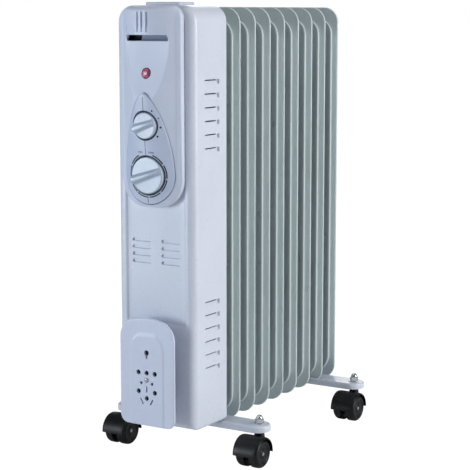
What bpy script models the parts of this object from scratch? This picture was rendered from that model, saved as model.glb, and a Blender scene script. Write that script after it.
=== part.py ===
"""Oil filled column radiator on four twin-wheel casters, with a control casing at its front.

Metres, +Z up. X runs across the fins, the control panel faces -Y, the fins stand in a row
towards +Y, and the wheels stand on Z = 0. The origin is the middle of the footprint.
"""
import math

import bpy
import bmesh
from mathutils import Matrix, Vector

# Fits
GAP = 0.0003                 # between pieces that touch
RUNNING_GAP = 0.0004         # between a turning piece and what it turns on
TINY = 0.00001               # merge distance of the turned shapes
OVERRUN = 0.004              # how far a cutter runs past what it cuts

# Casters
CASTER_X = 0.110
CASTER_TRAIL = 0.0175
WHEEL_RADIUS = 0.020
WHEEL_INNER = 0.0036
WHEEL_THICKNESS = 0.0142
WHEEL_STEPS = 18
WHEEL_RECESS = 0.0016
WHEEL_DISH = 0.0085          # the dished middle ends this far inside the tread
WHEEL_RIM = 0.0072
WHEEL_FACE = 0.0040
WHEEL_SHOULDER = 0.0012
AXLE_RADIUS = 0.0025
AXLE_HALF_LENGTH = 0.0168
HOOD_GAP = 0.001
HOOD_WALL = 0.0024
HOOD_HALF_WIDTH = 0.0190
HOOD_LIFT = 0.001            # the hood ends this far below the axle's middle
HOOD_SIDES = 22
WEB_HALF_WIDTH = 0.0030
WEB_RADIUS = 0.012
NECK_RADIUS = 0.0068
NECK_LENGTH = 0.0038         # how far the neck stands above the hood
NECK_SINK = 0.017            # and how far it reaches down into it
STEM_RADIUS = 0.0025
STEM_COLLAR = 0.0052
STEM_BORE_DEPTH = 0.0108
NUT_FLANGE_RADIUS = 0.0072
NUT_FLANGE = 0.0016
NUT_RADIUS = 0.0062
NUT_HEX_HEIGHT = 0.005
NUT_DOME_RADIUS = 0.0046
NUT_HEIGHT = 0.0125
NUT_ROOF = 0.003             # metal left above the nut's thread

# Foot brackets and their clamps
BRACKET_RISE = 0.0088        # bracket's top above the casters' necks
BRACKET_SKIRT = 0.009
BRACKET_WALL = 0.0015
BRACKET_END = 0.016          # how far a bracket runs past a caster's stem
FRONT_BRACKET_ELEMENT = 1    # bracket lies in front of this element, counted from zero
REAR_BRACKET_ELEMENT = 8
BRACKET_SLOT_MARGIN = 0.001  # bracket's slot runs this far past the rim that stands in it
CLAMP_BOLT_RADIUS = 0.0025
CLAMP_BOLT_TAIL = 0.0012
CLAMP_NUT_RADIUS = 0.0048
CLAMP_NUT_HEIGHT = 0.0035

# Oil elements (the fins)
ELEMENT_COUNT = 9
ELEMENT_PITCH = 0.0403
ELEMENT_FIRST = 0.0675       # first element's middle plane, behind the casing's front
FIN_HALF_WIDTH = 0.0605
FIN_HEIGHT = 0.574
FIN_CORNER = 0.023
FIN_SPREAD = 0.010           # each sheet's rim stands this far from the middle plane
FIN_LIP = 0.0016             # half the thickness of the rolled rim
FIN_SHEET = 0.0012
FIN_STEPS = 2                # facets of a fin's rounded corner
FRONT_SHEET_INSET = 0.0165   # the front sheet ends this much short at top and bottom
FRONT_SHEET_LIFT = 0.008     # and this far above the brackets
WING_ROOT_WIDTH = 0.0165     # the two sheets part this far inside the fin's sides
WING_ROOT_INSET = 0.036      # and this far inside its ends
WING_ROOT_CORNER = 0.016
WING_KNEE_SIDE = 0.006       # the rear sheet has its full spread this far inside its side
WING_KNEE_END = 0.018        # and this far inside its top and bottom, which clears the feet
CHANNEL_SIDE = 0.0225        # oil channel's edge, inside the fin's sides
CHANNEL_INSET = 0.042
CHANNEL_CORNER = 0.010
CHANNEL_SLOPE = 0.003
CHANNEL_HALF_DEPTH = 0.006
COLLAR_SIDES = 16
COLLAR_RADIUS = 0.019
COLLAR_INSET = 0.061         # collar's middle above the fin's end
BORE_RADIUS = 0.012

# Control casing, a pressed steel cover around the first element
CASING_WALL = 0.0012
CASING_LIFT = 0.002          # casing's bottom above the brackets
CASING_EDGE = 0.011          # rounding of the front's edges
CASING_TOP_CORNER = 0.022
CASING_BOTTOM_CORNER = 0.002
CASING_REAR_MARGIN = 0.0004  # casing's rear edge behind the first element's rim
RECESS_SIDE = 0.014          # front recess, inside the casing's sides
RECESS_RISE = 0.1395
RECESS_DROP = 0.0254
RECESS_DEPTH = 0.0012
RECESS_CORNER = 0.004
VENT_ROWS = 4
VENT_PITCH = 0.0097
VENT_HEIGHT = 0.0042
VENT_LENGTH = 0.030
VENT_MIDDLE_X = 0.0235
VENT_RISE = 0.2225
LOUVRE_ROWS = 6
LOUVRE_PITCH = 0.0180
LOUVRE_HEIGHT = 0.005
LOUVRE_LENGTH = 0.036
LOUVRE_FRONT = 0.026
LOUVRE_RISE = 0.0775         # lowest louvre of the lower group, above the casing's bottom
LOUVRE_DROP = 0.1915         # lowest louvre of the upper group, below the casing's top

# Control panel, a crowned plastic fascia hung from the casing's top
PANEL_SIDE = 0.0095          # panel's edge inside the casing's sides
PANEL_FOOT = 0.0045          # panel's lower edge below the dial plate's
PANEL_TOP_CORNER = 0.016
PANEL_BOTTOM_CORNER = 0.038
PANEL_WALL = 0.0024
PANEL_RIM_DEPTH = 0.007
PANEL_TOP_DEPTH = 0.026
PANEL_LOW_DEPTH = 0.0135
PANEL_SLOPE_DROP = 0.114     # from here up the fascia's depth stays the same
PANEL_COLUMNS = 10
PANEL_EDGE = 0.006           # crown starts this far inside the rim
CROWN_SHOULDER = 0.25        # share of the crown's rise that is there at its sides
EDGE_FALL = 0.45             # share of the crown's rise that the rounded rim gives up
GRIP_DROP = 0.0365           # grip slot's upper edge below the panel's top
GRIP_OPENING = 0.008
GRIP_HALF_WIDTH = 0.032
LEDGE_RISE = 0.0008          # the bar's underside is this far from level
FUNNEL_DROP = 0.109
FUNNEL_TOP_WIDTH = 0.036
FUNNEL_BOTTOM_WIDTH = 0.018
FUNNEL_SLOPE = 0.011
FUNNEL_FLOOR_DEPTH = 0.010   # the funnel's floor at the grip slot, in front of the casing

# Dials and lamp
SELECTOR_DROP = 0.154        # below the panel's top
SELECTOR_RADIUS = 0.0175
THERMOSTAT_DROP = 0.220
THERMOSTAT_RADIUS = 0.0245
KNOB_SINK = 0.005            # how far a knob's skirt sinks behind the dial plate's face
KNOB_STAND = 0.001           # how far its flat top stands in front of that face
KNOB_RIDGE = 0.006
KNOB_EDGE = 0.0012
KNOB_REST_TILT = math.radians(18)
RIDGE_WIDTH = 0.008
WELL_GAP = 0.0011            # between a knob and the rim of its well
SHAFT_RADIUS = 0.003
SHAFT_CLEARANCE = 0.001
SHAFT_GRIP = 0.0045          # how far a shaft reaches into its knob
SHAFT_SEAT = 0.006           # and into the switch that it turns
DIAL_PROUD = 0.0012
DIAL_WALL = 0.0018
DIAL_SKIRT = 0.0085
DIAL_LOBE = 0.014            # dial plate's edge outside the thermostat knob
DIAL_TOP_DROP = 0.1115
DIAL_SHOULDER = 1.2          # the three powers of the egg-shaped upper outline
DIAL_POWER = 1.7
DIAL_FULLNESS = 0.62
LAMP_DROP = 0.086
LENS_RADIUS = 0.0062
LENS_PROUD = 0.0018
LENS_LENGTH = 0.010
LENS_WALL = 0.0012
LAMP_RADIUS = 0.0036
LAMP_LENGTH = 0.012

# Top cover
COVER_SIDE = 0.034
COVER_FRONT = 0.018
COVER_MARGIN = 0.0215
COVER_HEIGHT = 0.0042
COVER_CORNER = 0.006
COVER_EDGE = 0.0012

# Plug holder plate
HOLDER_SIDE = 0.018          # plate's edge inside the casing's sides
HOLDER_LIFT = 0.005          # plate's bottom above the casing's
HOLDER_HEIGHT = 0.1477
HOLDER_STAND = 0.020
HOLDER_THICKNESS = 0.0035
HOLDER_TOP_CORNER = 0.020
HOLDER_BOTTOM_CORNER = 0.012
HOLDER_ARCH = 0.008
HOLDER_POST_RISE = 0.063
HOLDER_POST_RADIUS = 0.0048
HOLDER_SCREW_RADIUS = 0.0019
SCREW_HEAD_RADIUS = 0.0032
SCREW_HEAD_HEIGHT = 0.0016
SCREW_ANCHOR = 0.008         # how far the screw reaches into the casing
PIN_RADIUS = 0.0034          # holes for a plug's pins, placed from the post
PIN_SPREAD = 0.0132
PIN_RISE = 0.010
PIN_DROP = 0.016
FOOT_PIN_DROP = 0.025
SIDE_PIN_RADIUS = 0.0022
SIDE_PIN_SPREAD = 0.0088
SIDE_PIN_DROP = 0.0043
SLOT_WIDTH = 0.0022
SLOT_LENGTH = 0.009
SLOT_DROP = 0.0125
SLANT_SPREAD = 0.0078
SLANT_DROP = 0.0295
SLANT_ANGLE = 28
KEYHOLE_RISE = 0.0375
KEYHOLE_RADIUS = 0.0038
KEYHOLE_TAIL = 0.0078
KEYHOLE_MARGIN = 0.0005

# Pieces inside the casing
PLATE_DEPTH = 0.030          # mounting plate's web, behind the casing's front
PLATE_DROP = 0.119
PLATE_HEIGHT = 0.140
PLATE_WALL = 0.0012
SWITCH_WIDTH = 0.030
SWITCH_HEIGHT = 0.026
SWITCH_DEPTH = 0.022
THERMOSTAT_WIDTH = 0.034
THERMOSTAT_HEIGHT = 0.030
THERMOSTAT_DEPTH = 0.022
CUTOUT_RADIUS = 0.008
CUTOUT_DEPTH = 0.007
CUTOUT_X = 0.022
CUTOUT_DROP = 0.020
BLOCK_LENGTH = 0.034
BLOCK_THICKNESS = 0.014
BLOCK_HEIGHT = 0.018
BLOCK_RISE = 0.1745
HEATER_ROD_RADIUS = 0.0032
HEATER_ROD_OFFSET = 0.0055
HEATER_ROD_MARGIN = 0.012
HEATER_HEX_EDGE = 0.003      # the hexagon's corners stand this far outside the collar
HEATER_HEX_DEPTH = 0.008
HEATER_NECK_MARGIN = 0.0024
HEATER_PIN_RADIUS = 0.0018
HEATER_PIN_LENGTH = 0.006
GLAND_X = -0.034
GLAND_Y = 0.022
GLAND_RADIUS = 0.0065
GLAND_FLANGE = 0.009
GLAND_BORE = 0.0042
GLAND_SLEEVE = 0.008
GLAND_LIP = 0.0025
GLAND_BEVEL = 0.001

# What follows from the sizes above: heights stack up from the wheels
HOOD_RADIUS = WHEEL_RADIUS + HOOD_GAP + HOOD_WALL
NECK_TOP = WHEEL_RADIUS + HOOD_RADIUS + NECK_LENGTH
BRACKET_TOP = NECK_TOP + BRACKET_RISE
BRACKET_HALF_LENGTH = CASTER_X + BRACKET_END
BRACKET_HALF_WIDTH = ELEMENT_PITCH / 2 - FIN_LIP - GAP
CLAMP_REACH = COLLAR_RADIUS + CLAMP_BOLT_RADIUS + GAP
FIN_BOTTOM = BRACKET_TOP + FRONT_SHEET_LIFT - FRONT_SHEET_INSET
FIN_TOP = FIN_BOTTOM + FIN_HEIGHT
COLLAR_Z = FIN_BOTTOM + COLLAR_INSET
COLLAR_TOP_Z = FIN_TOP - COLLAR_INSET
LAST_ELEMENT = ELEMENT_FIRST + (ELEMENT_COUNT - 1) * ELEMENT_PITCH
REAR_REACH = LAST_ELEMENT + FIN_SPREAD + FIN_LIP
NECK_DEPTH = ELEMENT_FIRST - ELEMENT_PITCH / 2
HEATER_NECK_END = NECK_DEPTH - CLAMP_BOLT_RADIUS - HEATER_NECK_MARGIN

CASING_HALF_WIDTH = FIN_HALF_WIDTH + CASING_WALL + GAP
CASING_DEPTH = ELEMENT_FIRST + FIN_SPREAD + FIN_LIP + CASING_REAR_MARGIN
CASING_BOTTOM = BRACKET_TOP + CASING_LIFT
CASING_TOP = FIN_TOP + CASING_WALL + 2 * GAP
CASING_FLOOR_DEPTH = NECK_DEPTH - CLAMP_BOLT_RADIUS - OVERRUN / 2
RECESS_HALF_WIDTH = CASING_HALF_WIDTH - RECESS_SIDE
RECESS_BOTTOM = CASING_BOTTOM + RECESS_RISE
RECESS_TOP = CASING_TOP - RECESS_DROP
VENT_LOW = CASING_BOTTOM + VENT_RISE
LOUVRE_LOWS = (CASING_BOTTOM + LOUVRE_RISE, CASING_TOP - LOUVRE_DROP)

PANEL_HALF_WIDTH = CASING_HALF_WIDTH - PANEL_SIDE
PANEL_TOP = FIN_TOP
THERMOSTAT_Z = PANEL_TOP - THERMOSTAT_DROP
DIAL_LOBE_RADIUS = THERMOSTAT_RADIUS + DIAL_LOBE
PANEL_BOTTOM = THERMOSTAT_Z - DIAL_LOBE_RADIUS - PANEL_FOOT
PANEL_SLOPE_TOP = PANEL_TOP - PANEL_SLOPE_DROP
CROWN_SPAN = PANEL_HALF_WIDTH - PANEL_EDGE
GRIP_HIGH = PANEL_TOP - GRIP_DROP
GRIP_LOW = GRIP_HIGH - GRIP_OPENING
FUNNEL_BOTTOM = PANEL_TOP - FUNNEL_DROP
SELECTOR_Z = PANEL_TOP - SELECTOR_DROP
DIAL_TOP = PANEL_TOP - DIAL_TOP_DROP
LAMP_Z = PANEL_TOP - LAMP_DROP
PLATE_HIGH = PANEL_TOP - PLATE_DROP
PLATE_LOW = PLATE_HIGH - PLATE_HEIGHT
HOLDER_HALF_WIDTH = CASING_HALF_WIDTH - HOLDER_SIDE
HOLDER_BOTTOM = CASING_BOTTOM + HOLDER_LIFT
HOLDER_TOP = HOLDER_BOTTOM + HOLDER_HEIGHT
HOLDER_POST_Z = HOLDER_BOTTOM + HOLDER_POST_RISE
BLOCK_Z = CASING_BOTTOM + BLOCK_RISE


def dial_face_depth(height):
    """How far in front of the casing the fascia's middle line stands at a height."""
    share = (height - PANEL_BOTTOM) / (PANEL_SLOPE_TOP - PANEL_BOTTOM)
    share = min(max(share, 0.0), 1.0)
    return PANEL_LOW_DEPTH + (PANEL_TOP_DEPTH - PANEL_LOW_DEPTH) * share


KNOB_REACH = dial_face_depth(SELECTOR_Z) + DIAL_PROUD + KNOB_STAND + KNOB_RIDGE
FRONT_REACH = max(HOLDER_STAND + HOLDER_THICKNESS, PANEL_TOP_DEPTH, KNOB_REACH)
CASING_FRONT_Y = FRONT_REACH - (FRONT_REACH + REAR_REACH) / 2


def behind(depth):
    """The Y of a plane this far behind the casing's front face."""
    return CASING_FRONT_Y + depth


# Scene, materials and helpers

for old in list(bpy.data.objects):
    bpy.data.objects.remove(old, do_unlink=True)

PARTS = bpy.data.collections.new("oil_radiator")
CUTTERS = bpy.data.collections.new("cutters")
for group in (PARTS, CUTTERS):
    bpy.context.scene.collection.children.link(group)


def material(name, colour, roughness, metallic=0.0):
    made = bpy.data.materials.new(name)
    made.use_nodes = True
    shader = made.node_tree.nodes["Principled BSDF"]
    shader.inputs["Base Color"].default_value = (*colour, 1.0)
    shader.inputs["Roughness"].default_value = roughness
    shader.inputs["Metallic"].default_value = metallic
    return made


FIN_PAINT = material("fin_enamel", (0.72, 0.76, 0.76), 0.35)
CASING_PAINT = material("casing_enamel", (0.74, 0.77, 0.84), 0.40)
PANEL_PLASTIC = material("panel_plastic", (0.62, 0.68, 0.82), 0.38)
DIAL_PLASTIC = material("dial_plastic", (0.60, 0.66, 0.80), 0.35)
KNOB_PLASTIC = material("knob_plastic", (0.60, 0.67, 0.80), 0.30)
LENS_PLASTIC = material("lens_red", (0.42, 0.05, 0.16), 0.15)
CASTER_PLASTIC = material("caster_black", (0.012, 0.013, 0.018), 0.42)
CHROME = material("chrome", (0.82, 0.82, 0.84), 0.12, 1.0)
ZINC = material("zinc_steel", (0.62, 0.63, 0.65), 0.35, 1.0)
BAKELITE = material("bakelite", (0.05, 0.05, 0.055), 0.5)
CERAMIC = material("ceramic", (0.82, 0.80, 0.74), 0.55)


def keep(name, mesh, finish, group=PARTS):
    made = bpy.data.objects.new(name, mesh)
    group.objects.link(made)
    if finish is not None:
        mesh.materials.append(finish)
    if group is CUTTERS:
        made.hide_render = True
        made.display_type = "WIRE"
    return made


def finish_mesh(shape, name):
    """Turns a bmesh into a mesh whose faces point outwards."""
    bmesh.ops.recalc_face_normals(shape, faces=shape.faces)
    mesh = bpy.data.meshes.new(name)
    shape.to_mesh(mesh)
    shape.free()
    return mesh


def block_mesh(name, low, high):
    shape = bmesh.new()
    bmesh.ops.create_cube(shape, size=1.0)
    for vertex in shape.verts:
        for axis in range(3):
            middle = (low[axis] + high[axis]) / 2
            vertex.co[axis] = middle + vertex.co[axis] * (high[axis] - low[axis])
    return finish_mesh(shape, name)


def rod_mesh(name, radius, start, end, sides=24, end_radius=None):
    """A cylinder or cone between two points."""
    start = Vector(start)
    end = Vector(end)
    along = end - start
    turn = Vector((0, 0, 1)).rotation_difference(along).to_matrix().to_4x4()
    shape = bmesh.new()
    bmesh.ops.create_cone(
        shape, cap_ends=True, segments=sides, radius1=radius,
        radius2=radius if end_radius is None else end_radius, depth=along.length,
        matrix=Matrix.Translation((start + end) / 2) @ turn)
    return finish_mesh(shape, name)


def several(name, meshes):
    """One mesh that holds several closed shapes which stand apart."""
    shape = bmesh.new()
    for mesh in meshes:
        shape.from_mesh(mesh)
        bpy.data.meshes.remove(mesh)
    return finish_mesh(shape, name)


def combine(target, mesh, operation, name):
    """Cuts the target by a shape, or joins the shape to it."""
    tool = keep(f"{target.name}_{name}", mesh, None, CUTTERS)
    tool.matrix_world = target.matrix_world.copy()
    step = target.modifiers.new(name, "BOOLEAN")
    step.operation = operation
    step.object = tool
    return step


def cut(target, mesh, name):
    combine(target, mesh, "DIFFERENCE", name)


def join(target, mesh, name):
    combine(target, mesh, "UNION", name)


def outline(half_width, low, high, low_corner, high_corner, steps=3):
    """Upright rounded rectangle as (x, z) points, from the lower right corner anticlockwise."""
    corners = ((1, low, low_corner, -90), (1, high, high_corner, 0),
               (-1, high, high_corner, 90), (-1, low, low_corner, 180))
    points = []
    for side, edge, radius, start in corners:
        inward = radius if edge == low else -radius
        for step in range(steps + 1):
            angle = math.radians(start + 90 * step / steps)
            points.append((side * (half_width - radius) + radius * math.cos(angle),
                           edge + inward + radius * math.sin(angle)))
    return points


def ring(half_width, low, high, corner, depth, steps=3, high_corner=None):
    """A rounded rectangle standing at a depth, for a loft."""
    top = corner if high_corner is None else high_corner
    return [(x, depth, z) for x, z in outline(half_width, low, high, corner, top, steps)]


def loft_mesh(name, rings):
    """A skin through rings of equal point count, closed by a cap at each end."""
    shape = bmesh.new()
    rows = [[shape.verts.new(point) for point in points] for points in rings]
    count = len(rows[0])
    for inner, outer in zip(rows, rows[1:]):
        for i in range(count):
            j = (i + 1) % count
            shape.faces.new((inner[i], inner[j], outer[j], outer[i]))
    shape.faces.new(rows[0])
    shape.faces.new(rows[-1])
    return finish_mesh(shape, name)


def plate_mesh(name, points, thickness, holes=()):
    """A flat outline, filled as a 2D curve and extruded; it lies in XY around Z = 0."""
    curve = bpy.data.curves.new(name, "CURVE")
    curve.dimensions = "2D"
    curve.fill_mode = "BOTH"
    curve.extrude = thickness / 2
    for loop in (points, *holes):
        line = curve.splines.new("POLY")
        line.points.add(len(loop) - 1)
        for point, (x, y) in zip(line.points, loop):
            point.co = (x, y, 0, 1)
        line.use_cyclic_u = True
    holder = bpy.data.objects.new(name, curve)
    bpy.context.scene.collection.objects.link(holder)
    bpy.context.view_layer.update()
    flat = bpy.data.meshes.new_from_object(holder.evaluated_get(bpy.context.evaluated_depsgraph_get()))
    bpy.data.objects.remove(holder)
    shape = bmesh.new()
    shape.from_mesh(flat)
    bmesh.ops.remove_doubles(shape, verts=shape.verts, dist=TINY)
    bpy.data.meshes.remove(flat)
    return finish_mesh(shape, name)


def upright_plate_mesh(name, points, front, back, holes=()):
    """The same plate standing up: its outline is (x, z) and it runs from one depth to another."""
    mesh = plate_mesh(name, points, back - front, holes)
    stand = Matrix.Translation((0, (front + back) / 2, 0)) @ Matrix.Rotation(math.pi / 2, 4, "X")
    mesh.transform(stand)
    return mesh


def turned(name, profile, finish, steps, closed=False):
    """A profile of (radius, height) points, outer side top to bottom, turned around Z."""
    shape = bmesh.new()
    dots = [shape.verts.new((radius, 0, height)) for radius, height in profile]
    for first, second in zip(dots, dots[1:]):
        shape.edges.new((first, second))
    if closed:
        shape.edges.new((dots[-1], dots[0]))
    mesh = bpy.data.meshes.new(name)
    shape.to_mesh(mesh)
    shape.free()
    made = keep(name, mesh, finish)
    screw = made.modifiers.new("turn", "SCREW")
    screw.axis = "Z"
    screw.angle = math.tau
    screw.steps = steps
    screw.render_steps = steps
    screw.use_merge_vertices = True
    screw.merge_threshold = TINY
    return made


def circle_points(x, z, radius, sides=20):
    return [(x + radius * math.cos(math.tau * i / sides), z + radius * math.sin(math.tau * i / sides))
            for i in range(sides)]


def smooth(made):
    made.data.shade_smooth()
    made.data.set_sharp_from_angle(angle=math.radians(35))


# Oil elements

def element_rings():
    """Rings from the middle of the front face, around the front rim, in to the line where the
    sheets part, around the rear rim and back to the middle of the rear face."""
    front_low = FIN_BOTTOM + FRONT_SHEET_INSET
    front_high = FIN_TOP - FRONT_SHEET_INSET
    crest = FIN_LIP / 2

    def channel(inward, depth):
        low = FIN_BOTTOM + CHANNEL_INSET
        high = FIN_TOP - CHANNEL_INSET
        return ring(FIN_HALF_WIDTH - CHANNEL_SIDE - inward, low + inward, high - inward,
                    CHANNEL_CORNER - inward, depth, FIN_STEPS)

    def root(outward, depth):
        low = FIN_BOTTOM + WING_ROOT_INSET
        high = FIN_TOP - WING_ROOT_INSET
        return ring(FIN_HALF_WIDTH - WING_ROOT_WIDTH + outward, low - outward, high + outward,
                    WING_ROOT_CORNER, depth, FIN_STEPS)

    def knee(depth):
        return ring(FIN_HALF_WIDTH - WING_KNEE_SIDE, FIN_BOTTOM + WING_KNEE_END, FIN_TOP - WING_KNEE_END,
                    FIN_CORNER - WING_KNEE_SIDE, depth, FIN_STEPS)

    def rim(low, high, inward, depth):
        return ring(FIN_HALF_WIDTH - inward, low + inward, high - inward, FIN_CORNER - inward, depth,
                    FIN_STEPS)

    def rolled_rim(low, high, depth):
        rounds = ((2 * FIN_LIP, -crest), (0, -FIN_LIP), (0, FIN_LIP), (2 * FIN_LIP, crest))
        return [rim(low, high, inward, depth + step) for inward, step in rounds]

    rings = [channel(CHANNEL_SLOPE, -CHANNEL_HALF_DEPTH), channel(0, CHANNEL_SLOPE - CHANNEL_HALF_DEPTH)]
    rings += [root(0, -FIN_SHEET)]
    rings += rolled_rim(front_low, front_high, -FIN_SPREAD)
    rings += [root(FIN_SHEET, 0), knee(FIN_SPREAD - FIN_SHEET / 2)]
    rings += rolled_rim(FIN_BOTTOM, FIN_TOP, FIN_SPREAD)
    rings += [knee(FIN_SPREAD + FIN_SHEET / 2), root(0, FIN_SHEET)]
    rings += [channel(0, CHANNEL_HALF_DEPTH - CHANNEL_SLOPE), channel(CHANNEL_SLOPE, CHANNEL_HALF_DEPTH)]
    return rings


def build_elements():
    for number in range(ELEMENT_COUNT):
        name = f"oil_element_{number + 1}"
        element = keep(name, loft_mesh(name, element_rings()), FIN_PAINT)
        element.location.y = behind(ELEMENT_FIRST + number * ELEMENT_PITCH)
        bpy.context.view_layer.update()
        first = number == 0
        last = number == ELEMENT_COUNT - 1
        half = (ELEMENT_PITCH - GAP) / 2
        low_front = HEATER_NECK_END - ELEMENT_FIRST if first else -half
        low_back = CHANNEL_HALF_DEPTH - FIN_SHEET if last else half
        high_front = -CHANNEL_HALF_DEPTH / 2 if first else -half
        collars = [rod_mesh("low", COLLAR_RADIUS, (0, low_front, COLLAR_Z), (0, low_back, COLLAR_Z),
                            COLLAR_SIDES),
                   rod_mesh("high", COLLAR_RADIUS, (0, high_front, COLLAR_TOP_Z),
                            (0, low_back, COLLAR_TOP_Z), COLLAR_SIDES)]
        join(element, several("collars", collars), "collars")
        bore_end = 0 if last else half + OVERRUN
        cut(element, rod_mesh("bore", BORE_RADIUS, (0, low_front - OVERRUN, COLLAR_Z),
                              (0, bore_end, COLLAR_Z), COLLAR_SIDES), "bore")


# Control casing

def casing_rings():
    """From the recessed front outwards, back to the rear rim and in again behind the skin."""
    rounding = []
    hidden = []
    for step in range(5):
        angle = math.pi / 2 * step / 4
        inward = CASING_EDGE * (1 - math.sin(angle))
        depth = CASING_EDGE * (1 - math.cos(angle))
        rounding.append((inward, depth))
        slim = (CASING_EDGE - CASING_WALL) * (1 - math.sin(angle)) + CASING_WALL
        sunk = CASING_EDGE - (CASING_EDGE - CASING_WALL) * math.cos(angle)
        hidden.append((slim, sunk))

    def skin(inward, depth):
        return ring(CASING_HALF_WIDTH - inward, CASING_BOTTOM + inward, CASING_TOP - inward,
                    max(CASING_BOTTOM_CORNER - inward, 0.002), depth, 3,
                    max(CASING_TOP_CORNER - inward, 0.002))

    def recess(inward, depth):
        return ring(RECESS_HALF_WIDTH - inward, RECESS_BOTTOM + inward, RECESS_TOP - inward,
                    RECESS_CORNER, depth)

    rings = [recess(RECESS_DEPTH, RECESS_DEPTH), recess(0, 0)]
    rings += [skin(*pair) for pair in rounding]
    rings += [skin(0, CASING_DEPTH), skin(CASING_WALL, CASING_DEPTH)]
    rings += [skin(*pair) for pair in reversed(hidden)]
    rings += [recess(0, CASING_WALL), recess(RECESS_DEPTH, CASING_WALL + RECESS_DEPTH)]
    return rings


def build_casing():
    casing = keep("control_casing", loft_mesh("control_casing", casing_rings()), CASING_PAINT)
    casing.location.y = CASING_FRONT_Y
    bpy.context.view_layer.update()
    slots = []
    for side in (-1, 1):
        for row in range(VENT_ROWS):
            low = VENT_LOW + row * VENT_PITCH
            middle = side * VENT_MIDDLE_X
            slots.append(block_mesh("vent", (middle - VENT_LENGTH / 2, -OVERRUN, low),
                                    (middle + VENT_LENGTH / 2, CASING_EDGE / 2, low + VENT_HEIGHT)))
        for start in LOUVRE_LOWS:
            for row in range(LOUVRE_ROWS):
                low = start + row * LOUVRE_PITCH
                ends = sorted((side * (CASING_HALF_WIDTH + OVERRUN), side * (CASING_HALF_WIDTH - OVERRUN)))
                slots.append(block_mesh("louvre", (ends[0], LOUVRE_FRONT, low),
                                        (ends[1], LOUVRE_FRONT + LOUVRE_LENGTH, low + LOUVRE_HEIGHT)))
    cut(casing, several("slots", slots), "slots")
    opening = CASING_HALF_WIDTH - CASING_WALL
    floor = block_mesh("floor", (-opening, CASING_FLOOR_DEPTH, CASING_BOTTOM - OVERRUN),
                       (opening, CASING_DEPTH + OVERRUN, CASING_BOTTOM + CASING_BOTTOM_CORNER))
    cut(casing, floor, "floor")
    holes = [rod_mesh("shaft", SHAFT_RADIUS + SHAFT_CLEARANCE, (0, -OVERRUN, height),
                      (0, CASING_EDGE, height), 16) for height in (SELECTOR_Z, THERMOSTAT_Z)]
    holes.append(rod_mesh("lamp", LENS_RADIUS + GAP, (0, -OVERRUN, LAMP_Z), (0, CASING_EDGE, LAMP_Z), 20))
    holes.append(rod_mesh("post", HOLDER_SCREW_RADIUS + GAP, (0, -OVERRUN, HOLDER_POST_Z),
                          (0, CASING_EDGE, HOLDER_POST_Z), 16))
    holes.append(rod_mesh("gland", GLAND_RADIUS + GAP, (GLAND_X, GLAND_Y, CASING_BOTTOM - OVERRUN),
                          (GLAND_X, GLAND_Y, CASING_BOTTOM + OVERRUN), 20))
    cut(casing, several("holes", holes), "holes")


# Control panel

def ease(value):
    share = min(max(value, 0.0), 1.0)
    return share * share * (3 - 2 * share)


def fascia_depth(x, z):
    """How far the fascia stands in front of the casing at a point of its outline."""
    crown = 1 - (min(abs(x), CROWN_SPAN) / CROWN_SPAN) ** 2
    rise = CROWN_SHOULDER + (1 - CROWN_SHOULDER) * crown
    depth = PANEL_RIM_DEPTH + (dial_face_depth(z) - PANEL_RIM_DEPTH) * rise
    share = (z - FUNNEL_BOTTOM) / (GRIP_LOW - FUNNEL_BOTTOM)
    if 0 <= share and z <= GRIP_HIGH:
        share = min(share, 1.0)
        wide = FUNNEL_BOTTOM_WIDTH + (FUNNEL_TOP_WIDTH - FUNNEL_BOTTOM_WIDTH) * share
        floor = PANEL_TOP_DEPTH + (FUNNEL_FLOOR_DEPTH - PANEL_TOP_DEPTH) * math.sin(math.pi / 2 * share)
        inside = ease((wide + FUNNEL_SLOPE - abs(x)) / FUNNEL_SLOPE)
        depth -= max(depth - floor, 0) * inside
    edge = min(PANEL_HALF_WIDTH - abs(x), PANEL_TOP - z, z - PANEL_BOTTOM)
    fall = 1 - min(edge / PANEL_EDGE, 1.0)
    return depth - (depth - PANEL_RIM_DEPTH) * EDGE_FALL * fall * fall


def fascia_half_width(z):
    """Half width of the fascia's outline at a height, with its rounded corners."""
    if z > PANEL_TOP - PANEL_TOP_CORNER:
        rise = z - (PANEL_TOP - PANEL_TOP_CORNER)
        corner = PANEL_TOP_CORNER
    elif z < PANEL_BOTTOM + PANEL_BOTTOM_CORNER:
        rise = PANEL_BOTTOM + PANEL_BOTTOM_CORNER - z
        corner = PANEL_BOTTOM_CORNER
    else:
        return PANEL_HALF_WIDTH
    return PANEL_HALF_WIDTH - corner + math.sqrt(max(corner * corner - rise * rise, 0))


def fascia_heights():
    """Row heights: close together in the rounded corners, the grip and the funnel."""
    foot = PANEL_BOTTOM + PANEL_BOTTOM_CORNER
    head = PANEL_TOP - PANEL_TOP_CORNER
    heights = [foot - PANEL_BOTTOM_CORNER * math.cos(math.pi / 2 * step / 5) for step in range(6)]
    heights += [foot + (FUNNEL_BOTTOM - foot) * step / 5 for step in range(1, 6)]
    heights += [FUNNEL_BOTTOM + (GRIP_LOW - FUNNEL_BOTTOM) * step / 5 for step in range(1, 6)]
    heights += [GRIP_HIGH, GRIP_HIGH + LEDGE_RISE]
    heights += [head + PANEL_TOP_CORNER * math.sin(math.pi / 2 * step / 4) for step in range(5)]
    return heights


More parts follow.
